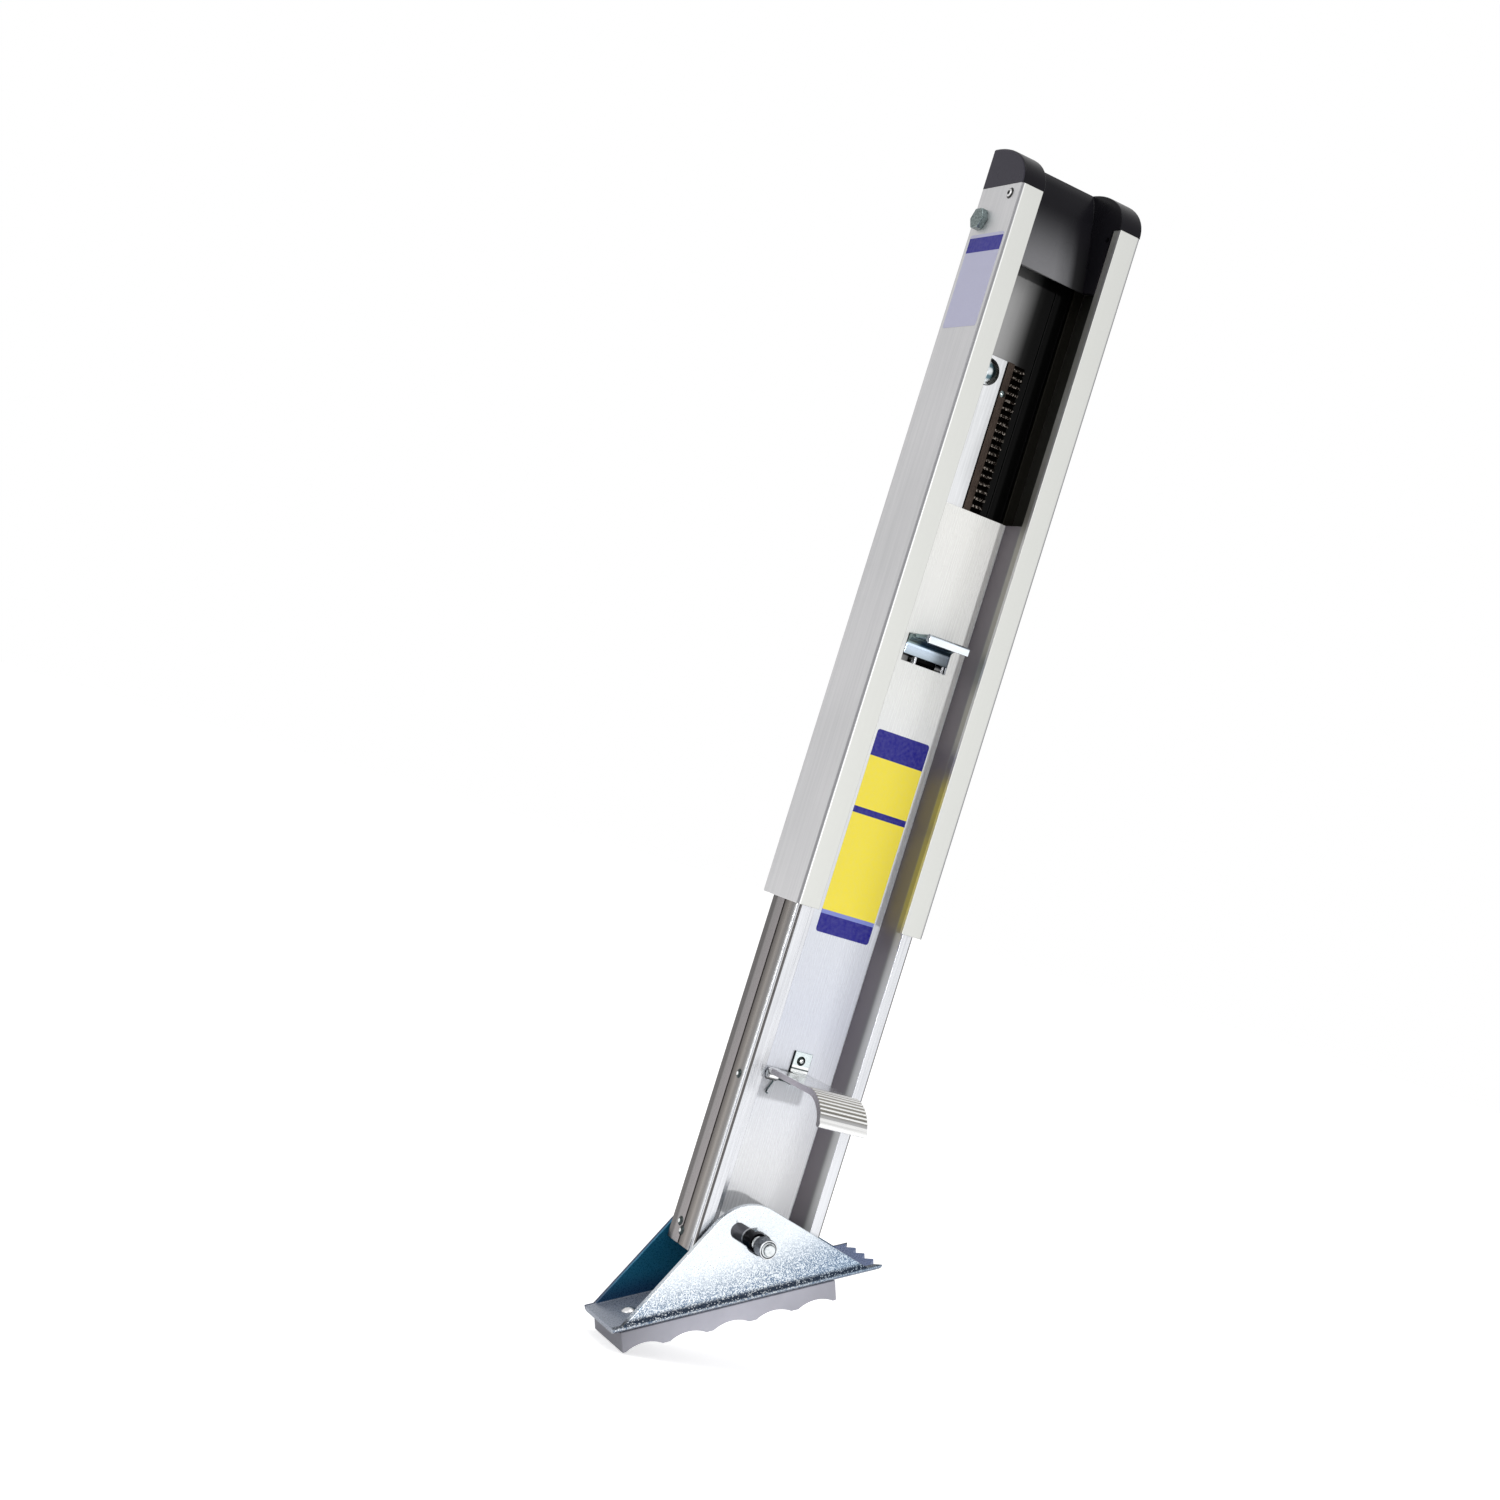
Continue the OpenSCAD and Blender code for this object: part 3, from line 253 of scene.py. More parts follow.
# Metals
mostNoise = (0.3, 0.7)  # the range that holds most of a noise's values
usualMetal = {"spread": 0.06, "stretch": (1, 1, 1), "grain": 900.0, "clouds": 18.0, "grainShare": 0.65,
              "roughNoise": (0.25, 0.75)}
metals = {
    "satinHousing": {"dark": (0.56, 0.56, 0.57), "light": (0.66, 0.655, 0.665), "rough": 0.48,
                     "spread": 0.05, "stretch": (1, 1, 0.02), "bumps": 0.06},
    "brightLeg": {"dark": (0.55, 0.56, 0.59), "light": (0.71, 0.72, 0.75), "rough": 0.27,
                  "spread": 0.05, "stretch": (1, 1, 0.012), "grain": 1300.0, "bumps": 0.02},
    "leverZinc": {"dark": (0.74, 0.80, 0.86), "light": (0.88, 0.92, 0.95), "rough": 0.24,
                  "spread": 0.05, "stretch": (1, 0.1, 1), "grain": 600.0, "bumps": 0.04},
    "brightPedal": {"dark": (0.72, 0.72, 0.72), "light": (0.88, 0.88, 0.87), "rough": 0.26,
                    "stretch": (1, 0.03, 1), "grain": 1500.0, "bumps": 0.06},
    "zincSteel": {"dark": (0.52, 0.56, 0.58), "light": (0.76, 0.79, 0.80), "rough": 0.24,
                  "spread": 0.07, "grain": 700.0, "bumps": 0.10},
    "rivetSteel": {"dark": (0.50, 0.50, 0.51), "light": (0.72, 0.72, 0.72), "rough": 0.3, "bumps": 0.12},
    "millStrip": {"dark": (0.58, 0.59, 0.60), "light": (0.76, 0.77, 0.79), "rough": 0.32,
                  "stretch": (1, 1, 0.03), "bumps": 0.10},
    "springWire": {"dark": (0.26, 0.26, 0.27), "light": (0.46, 0.46, 0.46), "rough": 0.3,
                   "grain": 1100.0, "bumps": 0.15},
    "sleeveSteel": {"dark": (0.14, 0.14, 0.155), "light": (0.30, 0.30, 0.33), "rough": 0.34,
                    "stretch": (0.1, 1, 1), "bumps": 0.15},
    "darkHeads": {"dark": (0.03, 0.05, 0.05), "light": (0.34, 0.40, 0.40), "rough": 0.2, "bumps": 0.25},
    "padHeads": {"dark": (0.62, 0.62, 0.63), "light": (0.84, 0.84, 0.84), "rough": 0.3, "bumps": 0.12},
    "bracketZinc": {"dark": (0.60, 0.68, 0.70), "light": (0.76, 0.83, 0.84), "rough": 0.26,
                    "grain": 700.0, "bumps": 0.06},
    "fleckedCollar": {"dark": (0.008, 0.01, 0.014), "light": (0.24, 0.26, 0.29), "rough": 0.3,
                      "spread": 0.08, "stretch": (0.5, 1, 1), "grain": 1500.0, "bumps": 0.3},
    "domedHeads": {"dark": (0.52, 0.56, 0.58), "light": (0.80, 0.83, 0.84), "rough": 0.2,
                   "grain": 700.0, "bumps": 0.06},
    "screwHeads": {"dark": (0.60, 0.64, 0.64), "light": (0.86, 0.88, 0.88), "rough": 0.22, "bumps": 0.08},
    "capHeads": {"dark": (0.50, 0.50, 0.51), "light": (0.80, 0.80, 0.80), "rough": 0.26, "bumps": 0.12},
    "coilSteel": {"dark": (0.02, 0.035, 0.04), "light": (0.22, 0.28, 0.30), "rough": 0.26,
                  "grain": 1100.0, "bumps": 0.15},
}


def grainedMetal(name, paint=(), kind=None):
    # Metal with grain along one axis and slow cloudiness, under rows of paint
    look = {**usualMetal, **metals[kind or name]}
    mat, tree, shader = newFinish(name, look["rough"], 1.0)
    fine = noise(tree, look["grain"], 4.0, look["stretch"])
    clouds = noise(tree, look["clouds"], 2.0)
    share = look["grainShare"]
    both = mathNode(tree, "ADD", times(tree, fine, share), times(tree, clouds, 1 - share))
    colour = mixed(tree, between(tree, both, *mostNoise, 0, 1), look["dark"], look["light"])
    tree.links.new(colour, shader.inputs["Base Color"])
    limits = (look["rough"] - look["spread"], look["rough"] + look["spread"])
    tree.links.new(between(tree, both, *look["roughNoise"], *limits), shader.inputs["Roughness"])
    bump(tree, shader, fine, look["bumps"])
    return painted(mat, paint)


# Housing: painted shade inside, darkest on the far wall and on the back wall's right, painted light and
# shade on the returns, lighter at the top, a darker grey on the lips' fronts, and painted shade on the
# rounded front corners
hollow = (("Y", -0.0366, 0.0366), ("X", 0.0015, 0.0368))
shadedReturn = (0.35, 0.34, 0.31)
litReturn = (0.54, 0.535, 0.51)
housingPaint = {
    # painted shade over the inside of the channel
    "inside": {"spans": hollow, "colour": (0.36, 0.36, 0.33)},
    # painted shade, deepest, on the far inner wall
    "far wall": {"spans": (*hollow, ("Y", 0.0285, 0.04)), "colour": (0.045, 0.043, 0.036)},
    # painted light and shade on the returns: shaded low down, lit at the top
    "returns": {"spans": (("side", 0.0255, 0.0285), ("X", 0.030, 0.0368)), "along": {"Z": (
        (-0.24, shadedReturn), (-0.01, shadedReturn), (0.02, litReturn), (0.15, litReturn))}},
    "lips": {"spans": (("side", 0.0258, 0.0380), ("X", 0.0387, 0.0395)), "colour": (0.51, 0.515, 0.495)},
    # painted shade on the back wall, falling to near black towards its right
    "back": {"spans": (*hollow, ("X", 0.0015, 0.0048)), "along": {"Y": (
        (-0.03, 0.30), (-0.003, 0.30), (0.002, 0.256), (0.0055, 0.184), (0.009, 0.108),
        (0.0125, 0.022), (0.016, 0.012), (0.035, 0.012))}},
    # painted shade on the rounded front corners
    "corners": {"fades": (("side", 0.0377, 0.0386, 0, 1), ("X", 0.0372, 0.0381, 0, 1)), "amount": 0.7,
                "colour": (0.09, 0.09, 0.10)},
}

# Leg: stripes of painted shade and highlight along the outer sides, painted highlight and shade lines along
# the front corners, painted shade deepening towards the back of the inner faces, and painted light and
# shade on a web whose tone changes from bottom to top and lightens towards the right
legPaint = {
    # painted shade and highlight in stripes for the side's grooves, steps and front edge
    "side": {"spans": (("side", 0.0358, 0.04),), "along": {"X": (
        (0.0063, (0.12, 0.113, 0.112)), (0.0106, (0.11, 0.103, 0.102)), (0.0122, (0.235, 0.222, 0.222)),
        (0.0190, (0.26, 0.24, 0.245)), (0.0198, (0.105, 0.096, 0.09)), (0.0222, (0.13, 0.117, 0.11)),
        (0.0245, (0.20, 0.182, 0.168)), (0.0260, (0.26, 0.24, 0.225)), (0.0290, (0.19, 0.178, 0.172)),
        (0.0312, (0.23, 0.225, 0.225)), (0.0322, 0.40), (0.0329, 0.90), (0.0340, 0.90), (0.0343, 0.12),
        (0.0357, 0.09))}},
    # painted highlight along the front corner
    "bright line": {"spans": (("side", 0.0340, 0.04), ("X", 0.0331, 0.0340)), "colour": (0.90, 0.90, 0.90)},
    # painted shade along the front corner
    "dark line": {"spans": (("side", 0.0345, 0.04), ("X", 0.0342, 0.04)), "colour": (0.09, 0.085, 0.085)},
    # painted shade on the right box's front corner
    "right line": {"spans": (("side", 0.0350, 0.04), ("X", 0.0345, 0.04), ("Y", 0, 0.04)),
                   "colour": (0.36, 0.36, 0.37)},
    # painted shade in the groove along the side
    "groove": {"spans": (("side", 0.0335, 0.0359), ("X", 0.0180, 0.0226)), "colour": (0.105, 0.096, 0.09)},
    # painted shade on the inner faces, darkest at the back
    "inner": {"spans": (("side", 0.0280, 0.0291), ("X", 0.0122, 0.0352)), "along": {"X": (
        (0.0120, (0.115, 0.105, 0.125)), (0.0135, (0.18, 0.16, 0.18)), (0.0265, (0.20, 0.183, 0.20)),
        (0.0278, 0.24), (0.0295, 0.46), (0.0315, 0.60), (0.0352, 0.68))}},
    # painted light and shade on the web, changing with height and lighter towards the right
    "web": {"spans": (("X", 0.0115, 0.0126), ("side", -0.001, 0.0286)), "along": {
        "Z": ((-0.430, (0.95, 0.96, 0.98)), (-0.382, (0.95, 0.96, 0.98)), (-0.302, (0.78, 0.81, 0.90)),
              (-0.200, (0.84, 0.87, 0.92)), (-0.122, (0.94, 0.95, 0.93)), (-0.032, (0.96, 0.96, 0.93))),
        "Y": ((-0.028, 0.93), (0.005, 0.94), (0.02, 1), (0.028, 1))}},
}
legDull = {"metallic": 0.10, "inner": 0.75, "innerRough": 0.6}


def legFinish():
    # The web and the inner faces mirror less than the rest
    mat = grainedMetal("brightLeg", legPaint.values())
    tree = mat.node_tree
    shader = tree.nodes["Principled BSDF"]
    inner = zone(tree, legPaint["inner"])
    dull = mathNode(tree, "MAXIMUM", zone(tree, legPaint["web"]), times(tree, inner, legDull["inner"]))
    tree.links.new(between(tree, dull, 0, 1, 1.0, legDull["metallic"]), shader.inputs["Metallic"])
    rough = shader.inputs["Roughness"].links[0].from_socket
    rough = mathNode(tree, "MAXIMUM", rough, times(tree, inner, legDull["innerRough"]))
    tree.links.new(rough, shader.inputs["Roughness"])
    return mat


capLook = {"dark": (0.006, 0.006, 0.008), "light": (0.012, 0.011, 0.014), "pores": 1400.0, "clouds": 40.0,
           "specular": 0.07, "rough": (0.24, 0.34), "bumps": (0.15, 0.0001)}
capPaint = {
    # painted sheen on the tongue, lighter towards its foot and its left
    "tongue": {"spans": (("Y", -0.0253, 0.0253),), "fades": (("Z", 0.113, 0.154, 1, 0),), "along": {"Y": (
        (-0.025, (0.20, 0.20, 0.21)), (0.005, (0.20, 0.20, 0.21)), (0.014, (0.124, 0.124, 0.1302)),
        (0.0185, (0.02, 0.02, 0.021)), (0.025, (0.006, 0.006, 0.0063)))}},
    # painted highlight along the tongue's lower edge
    "tongue's edge": {"spans": (("Z", 0.1114, 0.1126), ("Y", -0.0253, 0.020)),
                      "colour": (0.62, 0.62, 0.64)},
    # painted sheen on the cheeks' outer sides
    "cheeks": {"spans": (("side", 0.0392, 0.041),), "colour": (0.045, 0.042, 0.056)},
}


def plasticFinish():
    look = capLook
    mat, tree, shader = newFinish("mouldedBlack", 0.3)
    clouds = noise(tree, look["clouds"], 2.0)
    tree.links.new(mixed(tree, clouds, look["dark"], look["light"]), shader.inputs["Base Color"])
    shader.inputs["Specular IOR Level"].default_value = look["specular"]
    tree.links.new(between(tree, clouds, *mostNoise, *look["rough"]), shader.inputs["Roughness"])
    bump(tree, shader, noise(tree, look["pores"], 2.0), *look["bumps"])
    return painted(mat, capPaint.values())


# The shoe's limits are along its own base: forward along it, and rise over it. With their first and last
# value they are what the function between takes.
shoeLook = {
    "cells": 2100.0, "clouds": 45.0, "z": (-0.6, -0.37), "rough": (0.22, 0.42), "bumps": (0.22, 0.00012),
    "plain": ((0.62, 0.67, 0.71), (0.78, 0.81, 0.84)),
    "cool": {"forward": (-0.16, -0.10, 0, 0.75, True), "rise": (-0.410, -0.372, 1, 0.1),
             "colour": (0.36, 0.47, 0.60)},
    "speckle": {"slope": (-0.19, -0.10, -0.001, 0.010), "cells": (0.35, 0.75, 1, 0),
                "rise": (-0.4090, -0.3820, 1, 0, True), "colour": (0.13, 0.19, 0.28)},
    # painted shade along the crease
    "crease": {"under": (-0.4108, -0.4094, 0, 1, True), "over": (-0.4080, -0.4052, 1, 0, True),
               "cells": (0.85, 0.95, 0.97, 0.4), "colour": (0.012, 0.02, 0.035)},
    # painted shade on the rounded lower bend
    "bend": {"rise": (-0.4112, -0.4104, 1, 0, True), "amount": 0.6, "colour": (0.13, 0.14, 0.17)},
    # blue zinc inside, painted dark with shade
    "inside": {"x": (0.0019, 0.0373), "colours": ((0.004, 0.13, 0.25), (0.02, 0.19, 0.33)),
               "metallic": 0.35},
    # painted shade low on the inner walls
    "low inside": {"rise": (-0.409, -0.396, 0.75, 0, True), "colour": (0.003, 0.02, 0.09)},
    "ground": {"forward": (-0.165, -0.13, 0, 1), "rise": (-0.4094, -0.4090, 1, 0),
               "colours": ((0.24, 0.27, 0.33), (0.06, 0.11, 0.27))},
    "cut edge": {"x": (0.0, 0.0033), "colour": (0.003, 0.02, 0.07)},
}


def zincSheetFinish():
    # Zinc plate with a fine spangle, speckled low on the shoe's outside, with painted shade along its
    # crease and lower bend, and blue on its inside, painted dark with shade that deepens low on the walls
    look = shoeLook
    mat, tree, shader = newFinish("spangledZinc", 0.3, 1.0)
    cells = tree.nodes.new("ShaderNodeTexVoronoi")
    cells.inputs["Scale"].default_value = look["cells"]
    tree.links.new(place(tree), cells.inputs["Vector"])
    spark = axisOf(tree, "X", cells.outputs["Color"])
    slow = noise(tree, look["clouds"])
    onShoe = within(tree, "Z", *look["z"])
    base = place(tree, turn=-shoeTilt)
    rise = axisOf(tree, "Z", base)
    forward = axisOf(tree, "Y", base)

    row = look["cool"]
    cool = times(tree, between(tree, forward, *row["forward"]), between(tree, rise, *row["rise"]), onShoe)
    outer = mixed(tree, cool, mixed(tree, slow, *look["plain"]), row["colour"])
    row = look["speckle"]
    reach = mathNode(tree, "SUBTRACT", rise, between(tree, forward, *row["slope"]))
    speckle = times(tree, between(tree, spark, *row["cells"]), between(tree, reach, *row["rise"]), onShoe)
    outer = mixed(tree, speckle, outer, row["colour"])
    # painted shade along the crease
    row = look["crease"]
    crease = times(tree, between(tree, rise, *row["under"]), between(tree, rise, *row["over"]),
                   between(tree, spark, *row["cells"]), onShoe)
    outer = mixed(tree, crease, outer, row["colour"])
    # painted shade on the lower bend
    row = look["bend"]
    bend = times(tree, between(tree, rise, *row["rise"]), onShoe, row["amount"])
    outer = mixed(tree, bend, outer, row["colour"])

    # inner walls: blue zinc painted dark with shade, darkest low down
    row = look["low inside"]
    wall = mixed(tree, slow, *look["inside"]["colours"])
    wall = mixed(tree, between(tree, rise, *row["rise"]), wall, row["colour"])
    row = look["ground"]
    ground = mixed(tree, between(tree, forward, *row["forward"]), *row["colours"])
    inner = mixed(tree, between(tree, rise, *row["rise"]), wall, ground)
    row = look["cut edge"]
    inner = mixed(tree, within(tree, "X", *row["x"]), inner, row["colour"])
    inside = times(tree, within(tree, "X", *look["inside"]["x"]), onShoe)
    tree.links.new(mixed(tree, inside, outer, inner), shader.inputs["Base Color"])
    tree.links.new(between(tree, inside, 0, 1, 1.0, look["inside"]["metallic"]), shader.inputs["Metallic"])
    tree.links.new(between(tree, spark, 0, 1, *look["rough"]), shader.inputs["Roughness"])
    bump(tree, shader, spark, *look["bumps"])
    return mat


rackLook = {"dark": (0.03, 0.022, 0.019), "light": (0.09, 0.068, 0.056), "flecks": 1300.0, "rust": 120.0,
            "behind": {"spans": (("Y", 0.0087, 0.02),), "amount": 0.8, "colour": (0.012, 0.008, 0.006)},
            "tips": {"spans": (("Y", 0.0087, 0.02),)}, "tipDepth": (0.0051, 0.0055, 0, 0.6),
            "tipFlecks": (0.5, 0.62, 0, 1), "tipGlint": (0.62, 0.56, 0.50), "rough": (0.22, 0.45),
            "bumps": (0.35, 0.00015)}


def darkSteelFinish():
    # Dark oiled steel, bright in flecks of painted glint on the rack's tooth tips
    look = rackLook
    mat, tree, shader = newFinish("oiledSteel", 0.32, 1.0)
    flecks = noise(tree, look["flecks"], stretch=(1, 1, 0.6))
    body = mixed(tree, noise(tree, look["rust"]), look["dark"], look["light"])
    tree.links.new(body, shader.inputs["Base Color"])
    painted(mat, [look["behind"]])
    # painted glints in flecks on the tooth tips
    tips = between(tree, axisOf(tree, "X"), *look["tipDepth"])
    tips = times(tree, tips, zone(tree, look["tips"]), between(tree, flecks, *look["tipFlecks"]))
    laidOver(mat, tips, look["tipGlint"])
    tree.links.new(between(tree, flecks, *mostNoise, *look["rough"]), shader.inputs["Roughness"])
    bump(tree, shader, flecks, *look["bumps"])
    return mat


rubberLook = {"dark": (0.36, 0.36, 0.42), "light": (0.55, 0.55, 0.62), "clouds": 60.0, "pores": 900.0,
              "ribs": 160.0, "ribDepth": 0.6, "rough": (0.55, 0.7), "bumps": 0.25,
              "lengthwise": ((-0.08, 0.38), (-0.06, 0.5), (-0.03, 0.9), (0, 1), (0.03, 0.9), (0.05, 0.75))}


def rubberFinish():
    # Cloudy grey with fine ribs across, darker towards its ends
    look = rubberLook
    mat, tree, shader = newFinish("greyRubber", 0.62)
    clouds = noise(tree, look["clouds"])
    pores = noise(tree, look["pores"], 2.0)
    ribs = tree.nodes.new("ShaderNodeTexWave")
    ribs.bands_direction = "X"
    ribs.inputs["Scale"].default_value = look["ribs"]
    tree.links.new(place(tree), ribs.inputs["Vector"])
    grey = mixed(tree, clouds, look["dark"], look["light"])
    lengthwise = ramp(tree, axisOf(tree, "Y"), look["lengthwise"])
    tree.links.new(mixed(tree, 1.0, grey, lengthwise, "MULTIPLY"), shader.inputs["Base Color"])
    tree.links.new(between(tree, clouds, *mostNoise, *look["rough"]), shader.inputs["Roughness"])
    both = mathNode(tree, "ADD", times(tree, ribs.outputs["Fac"], look["ribDepth"]), pores)
    bump(tree, shader, both, look["bumps"])
    return mat


# Lever: painted shade in black low on the front below the tab, a painted highlight in pale blue above it,
# and painted shade in the fold, darker towards the right
leverPaint = {
    # painted shade in black low down, then a painted highlight in pale blue
    "front": {"spans": (("X", 0.0080, 0.0290),), "along": {"Z": (
        (-0.1035, 0.004), (-0.0998, 0.004), (-0.0994, (0.40, 0.47, 0.53)), (-0.0965, (0.55, 0.64, 0.74)),
        (-0.0939, (0.66, 0.78, 0.92)), (-0.0900, (0.66, 0.78, 0.92)))}},
    # painted shade in the fold, darker towards the right
    "fold": {"spans": (("X", 0.0080, 0.0290), ("Z", -0.0937, -0.05, 0.0003)), "along": {"Y": (
        (-0.009, (0.24, 0.31, 0.31)), (-0.003, (0.20, 0.27, 0.28)), (0.001, (0.035, 0.075, 0.13)),
        (0.021, (0.04, 0.07, 0.09)))}},
}

# Pedal: painted shade in the grooves between the ribs round its bend, a dull sawn side with painted shade
# deepening towards its front, and painted highlights and shade in bands over the knuckle
pedalGrooveShade = {"centre": at(63, 0, -107.12), "inner": (0.0198, 0.0199), "outer": (0.02022, 0.02052),
                "x": (0.057, 0.09), "z": (-0.3399, -0.3),
                "tones": ((-0.3399, 0.46), (-0.3388, 0.42), (-0.3380, (0.20, 0.19, 0.17)),
                          (-0.3335, (0.26, 0.25, 0.22)), (-0.328, (0.42, 0.40, 0.36)))}
pedalPaint = {
    # dull sawn side, with painted shade that deepens towards the front
    "sawn side": {"spans": (("Y", -0.02, -0.01385), ("X", 0.021, 0.09)), "along": {"X": (
        (0.0215, (0.80, 0.78, 0.84)), (0.045, (0.62, 0.59, 0.66)), (0.063, (0.36, 0.34, 0.40)),
        (0.078, (0.15, 0.14, 0.16)), (0.085, (0.10, 0.10, 0.12)))}},
    # painted highlights and shade in bands over the knuckle
    "knuckle": {"spans": (("X", 0.010, 0.0202),), "along": {"Z": (
        (-0.3358, 0.02), (-0.3350, 0.05), (-0.3343, 0.80), (-0.3328, 0.95), (-0.3324, 0.10),
        (-0.3319, 0.10), (-0.3315, 0.95), (-0.328, 0.95))}},
}


def pedalFinish():
    p = pedalGrooveShade
    mat = grainedMetal("brightPedal")
    tree = mat.node_tree
    forward = mathNode(tree, "SUBTRACT", axisOf(tree, "X"), p["centre"].x)
    forward = mathNode(tree, "MAXIMUM", forward, 0.0)
    upward = mathNode(tree, "SUBTRACT", axisOf(tree, "Z"), p["centre"].z)
    squares = mathNode(tree, "ADD", times(tree, forward, forward), times(tree, upward, upward))
    reach = mathNode(tree, "SQRT", squares)
    # painted shade in the grooves between the ribs
    grooves = times(tree, between(tree, reach, *p["inner"], 0, 1), between(tree, reach, *p["outer"], 1, 0),
                    within(tree, "X", *p["x"]), within(tree, "Z", *p["z"]))
    laidOver(mat, grooves, ramp(tree, axisOf(tree, "Z"), p["tones"]))
    sawn = zone(tree, pedalPaint["sawn side"])
    tree.links.new(between(tree, sawn, 0, 1, 1.0, 0.1), tree.nodes["Principled BSDF"].inputs["Metallic"])
    return painted(mat, pedalPaint.values())


# Sleeve: a painted glint in a bright ring just behind the shoe's plate, and painted shade from there on
sleevePaint = {
    "shaded end": {"spans": (("X", 0.0288, 0.06),), "colour": (0.02, 0.02, 0.024)},
    # painted glint
    "bright ring": {"spans": (("X", 0.0272, 0.0286),), "colour": (0.85, 0.86, 0.88)},
}

finishes = {
    "housing_aluminium": grainedMetal("satinHousing", housingPaint.values()),
    "leg_aluminium": legFinish(),
    "pedal_aluminium": pedalFinish(),
    "black_plastic": plasticFinish(),
    "zinc_steel": grainedMetal("zincSteel"),
    "zinc_sheet": zincSheetFinish(),
    "rivet_steel": grainedMetal("rivetSteel"),
    "bright_strip": grainedMetal("millStrip"),
    "dark_steel": darkSteelFinish(),
    "spring_steel": grainedMetal("springWire"),
    "sleeve_steel": grainedMetal("sleeveSteel", sleevePaint.values()),
    "grey_rubber": rubberFinish(),
}
print("finishes made:", len(finishes))

slotOf = {row["node"]: row["material_slot"] for row in frame["record"]["subparts"]}
bodyOf = {node: body for body, nodes in frame["record"]["behaviour"]["bodies"].items() for node in nodes}


# Pieces
def copyOf(node):
    # A merged copy of a CAD node whose flat faces are joined
    bm = bmesh.new()
    bm.from_mesh(frame["nodes"][node].data)
    bmesh.ops.remove_doubles(bm, verts=bm.verts, dist=2e-6)
    bmesh.ops.dissolve_limit(bm, angle_limit=radians(0.6), use_dissolve_boundaries=False,
                             verts=bm.verts, edges=bm.edges, delimit=set())
    return bm


def softened(bm, width, segments=2, sharper=32, only=None):
    # Rounds the edges that are sharper than an angle, where a test lets them through
    edges = [e for e in bm.edges if len(e.link_faces) == 2 and e.calc_face_angle(0) > radians(sharper)
             and (only is None or only(e))]
    bmesh.ops.bevel(bm, geom=edges, offset=width / 1000, offset_type="OFFSET", affect="EDGES",
                    segments=segments, profile=0.5, material=-1, clamp_overlap=False)


def finished(bm, name, body, slotName, replaced=(), finish=None, smoothUnder=usualSmooth):
    bmesh.ops.recalc_face_normals(bm, faces=bm.faces)
    mesh = meshFrom(bm, name)
    mesh.shade_smooth()
    mesh.set_sharp_from_angle(angle=radians(smoothUnder))
    piece = newObject(name, mesh)
    piece.data.materials.append(finish or finishes[slotName])
    weighted = piece.modifiers.new("flatFaces", "WEIGHTED_NORMAL")
    weighted.keep_sharp = True
    weighted.weight = 60
    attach(piece, body)
    if replaced:
        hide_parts(*replaced)
    return piece


def spunRound(bm, start, axis, outline, steps):
    # Turns an outline of (distance along the axis, radius) into a closed round shape
    across = axis.orthogonal().normalized()
    verts = [bm.verts.new(start + axis * d / 1000 + across * r / 1000) for d, r in outline]
    edges = [bm.edges.new(pair) for pair in zip(verts, verts[1:])]
    bmesh.ops.spin(bm, geom=verts + edges, cent=start, axis=axis, angle=2 * pi, steps=steps, use_merge=True)
    bmesh.ops.remove_doubles(bm, verts=bm.verts, dist=1e-7)


def threadAlong(bm, start, axis, length, pitch, root, crest, steps):
    # A helical ridge: its triangular profile is spun while it moves along the axis
    across = axis.orthogonal().normalized()
    half = 0.46 * pitch
    profile = [(-half, root), (0, crest), (half, root)]
    verts = [bm.verts.new(start + axis * d / 1000 + across * r / 1000) for d, r in profile]
    edges = [bm.edges.new((verts[k], verts[(k + 1) % 3])) for k in range(3)]
    turns = length / pitch
    count = int(steps * turns)
    made = bmesh.ops.spin(bm, geom=verts + edges, cent=start, axis=axis, angle=2 * pi * turns,
                          steps=count, dvec=axis * length / count / 1000)
    last = [g for g in made["geom_last"] if isinstance(g, bmesh.types.BMVert)]
    bm.faces.new(verts)
    bm.faces.new(last)


def wireCoil(bm, start, axis, shape, pitch, turns):
    # A round wire wound about an axis by a whole number of turns, from its back on, its ends closed
    ring = bmesh.new()
    bmesh.ops.create_circle(ring, segments=shape["sides"], radius=shape["wire"] / 2000,
                            matrix=Matrix.Translation((shape["radius"] / 1000, 0, 0))
                            @ Matrix.Rotation(pi / 2, 4, "X"))
    coil = newObject("coil", meshFrom(ring, "coil"))
    wound = coil.modifiers.new("wound", "SCREW")
    wound.screw_offset = pitch / 1000
    wound.iterations = turns
    wound.steps = wound.render_steps = shape["steps"]
    made = bpy.data.meshes.new_from_object(coil.evaluated_get(bpy.context.evaluated_depsgraph_get()))
    turned = Matrix((backX, axis.cross(backX), axis)).transposed().to_4x4()
    made.transform(Matrix.Translation(start) @ turned)
    bm.from_mesh(made)
    bpy.data.objects.remove(coil)
    bmesh.ops.remove_doubles(bm, verts=bm.verts, dist=1e-7)
    bmesh.ops.holes_fill(bm, edges=[e for e in bm.edges if e.is_boundary], sides=0)


def wireAlong(bm, points, wire):
    # A bent wire through a few points
    rings = []
    last = len(points) - 1
    for k, point in enumerate(points):
        run = (points[min(k + 1, last)] - points[max(k - 1, 0)]).normalized()
        made = bmesh.ops.create_circle(bm, cap_ends=k in (0, last), segments=8, radius=wire / 2000,
                                       matrix=facing(point, run))
        rings.append(list({e for v in made["verts"] for e in v.link_edges}))
    for one, two in zip(rings, rings[1:]):
        bmesh.ops.bridge_loops(bm, edges=one + two)


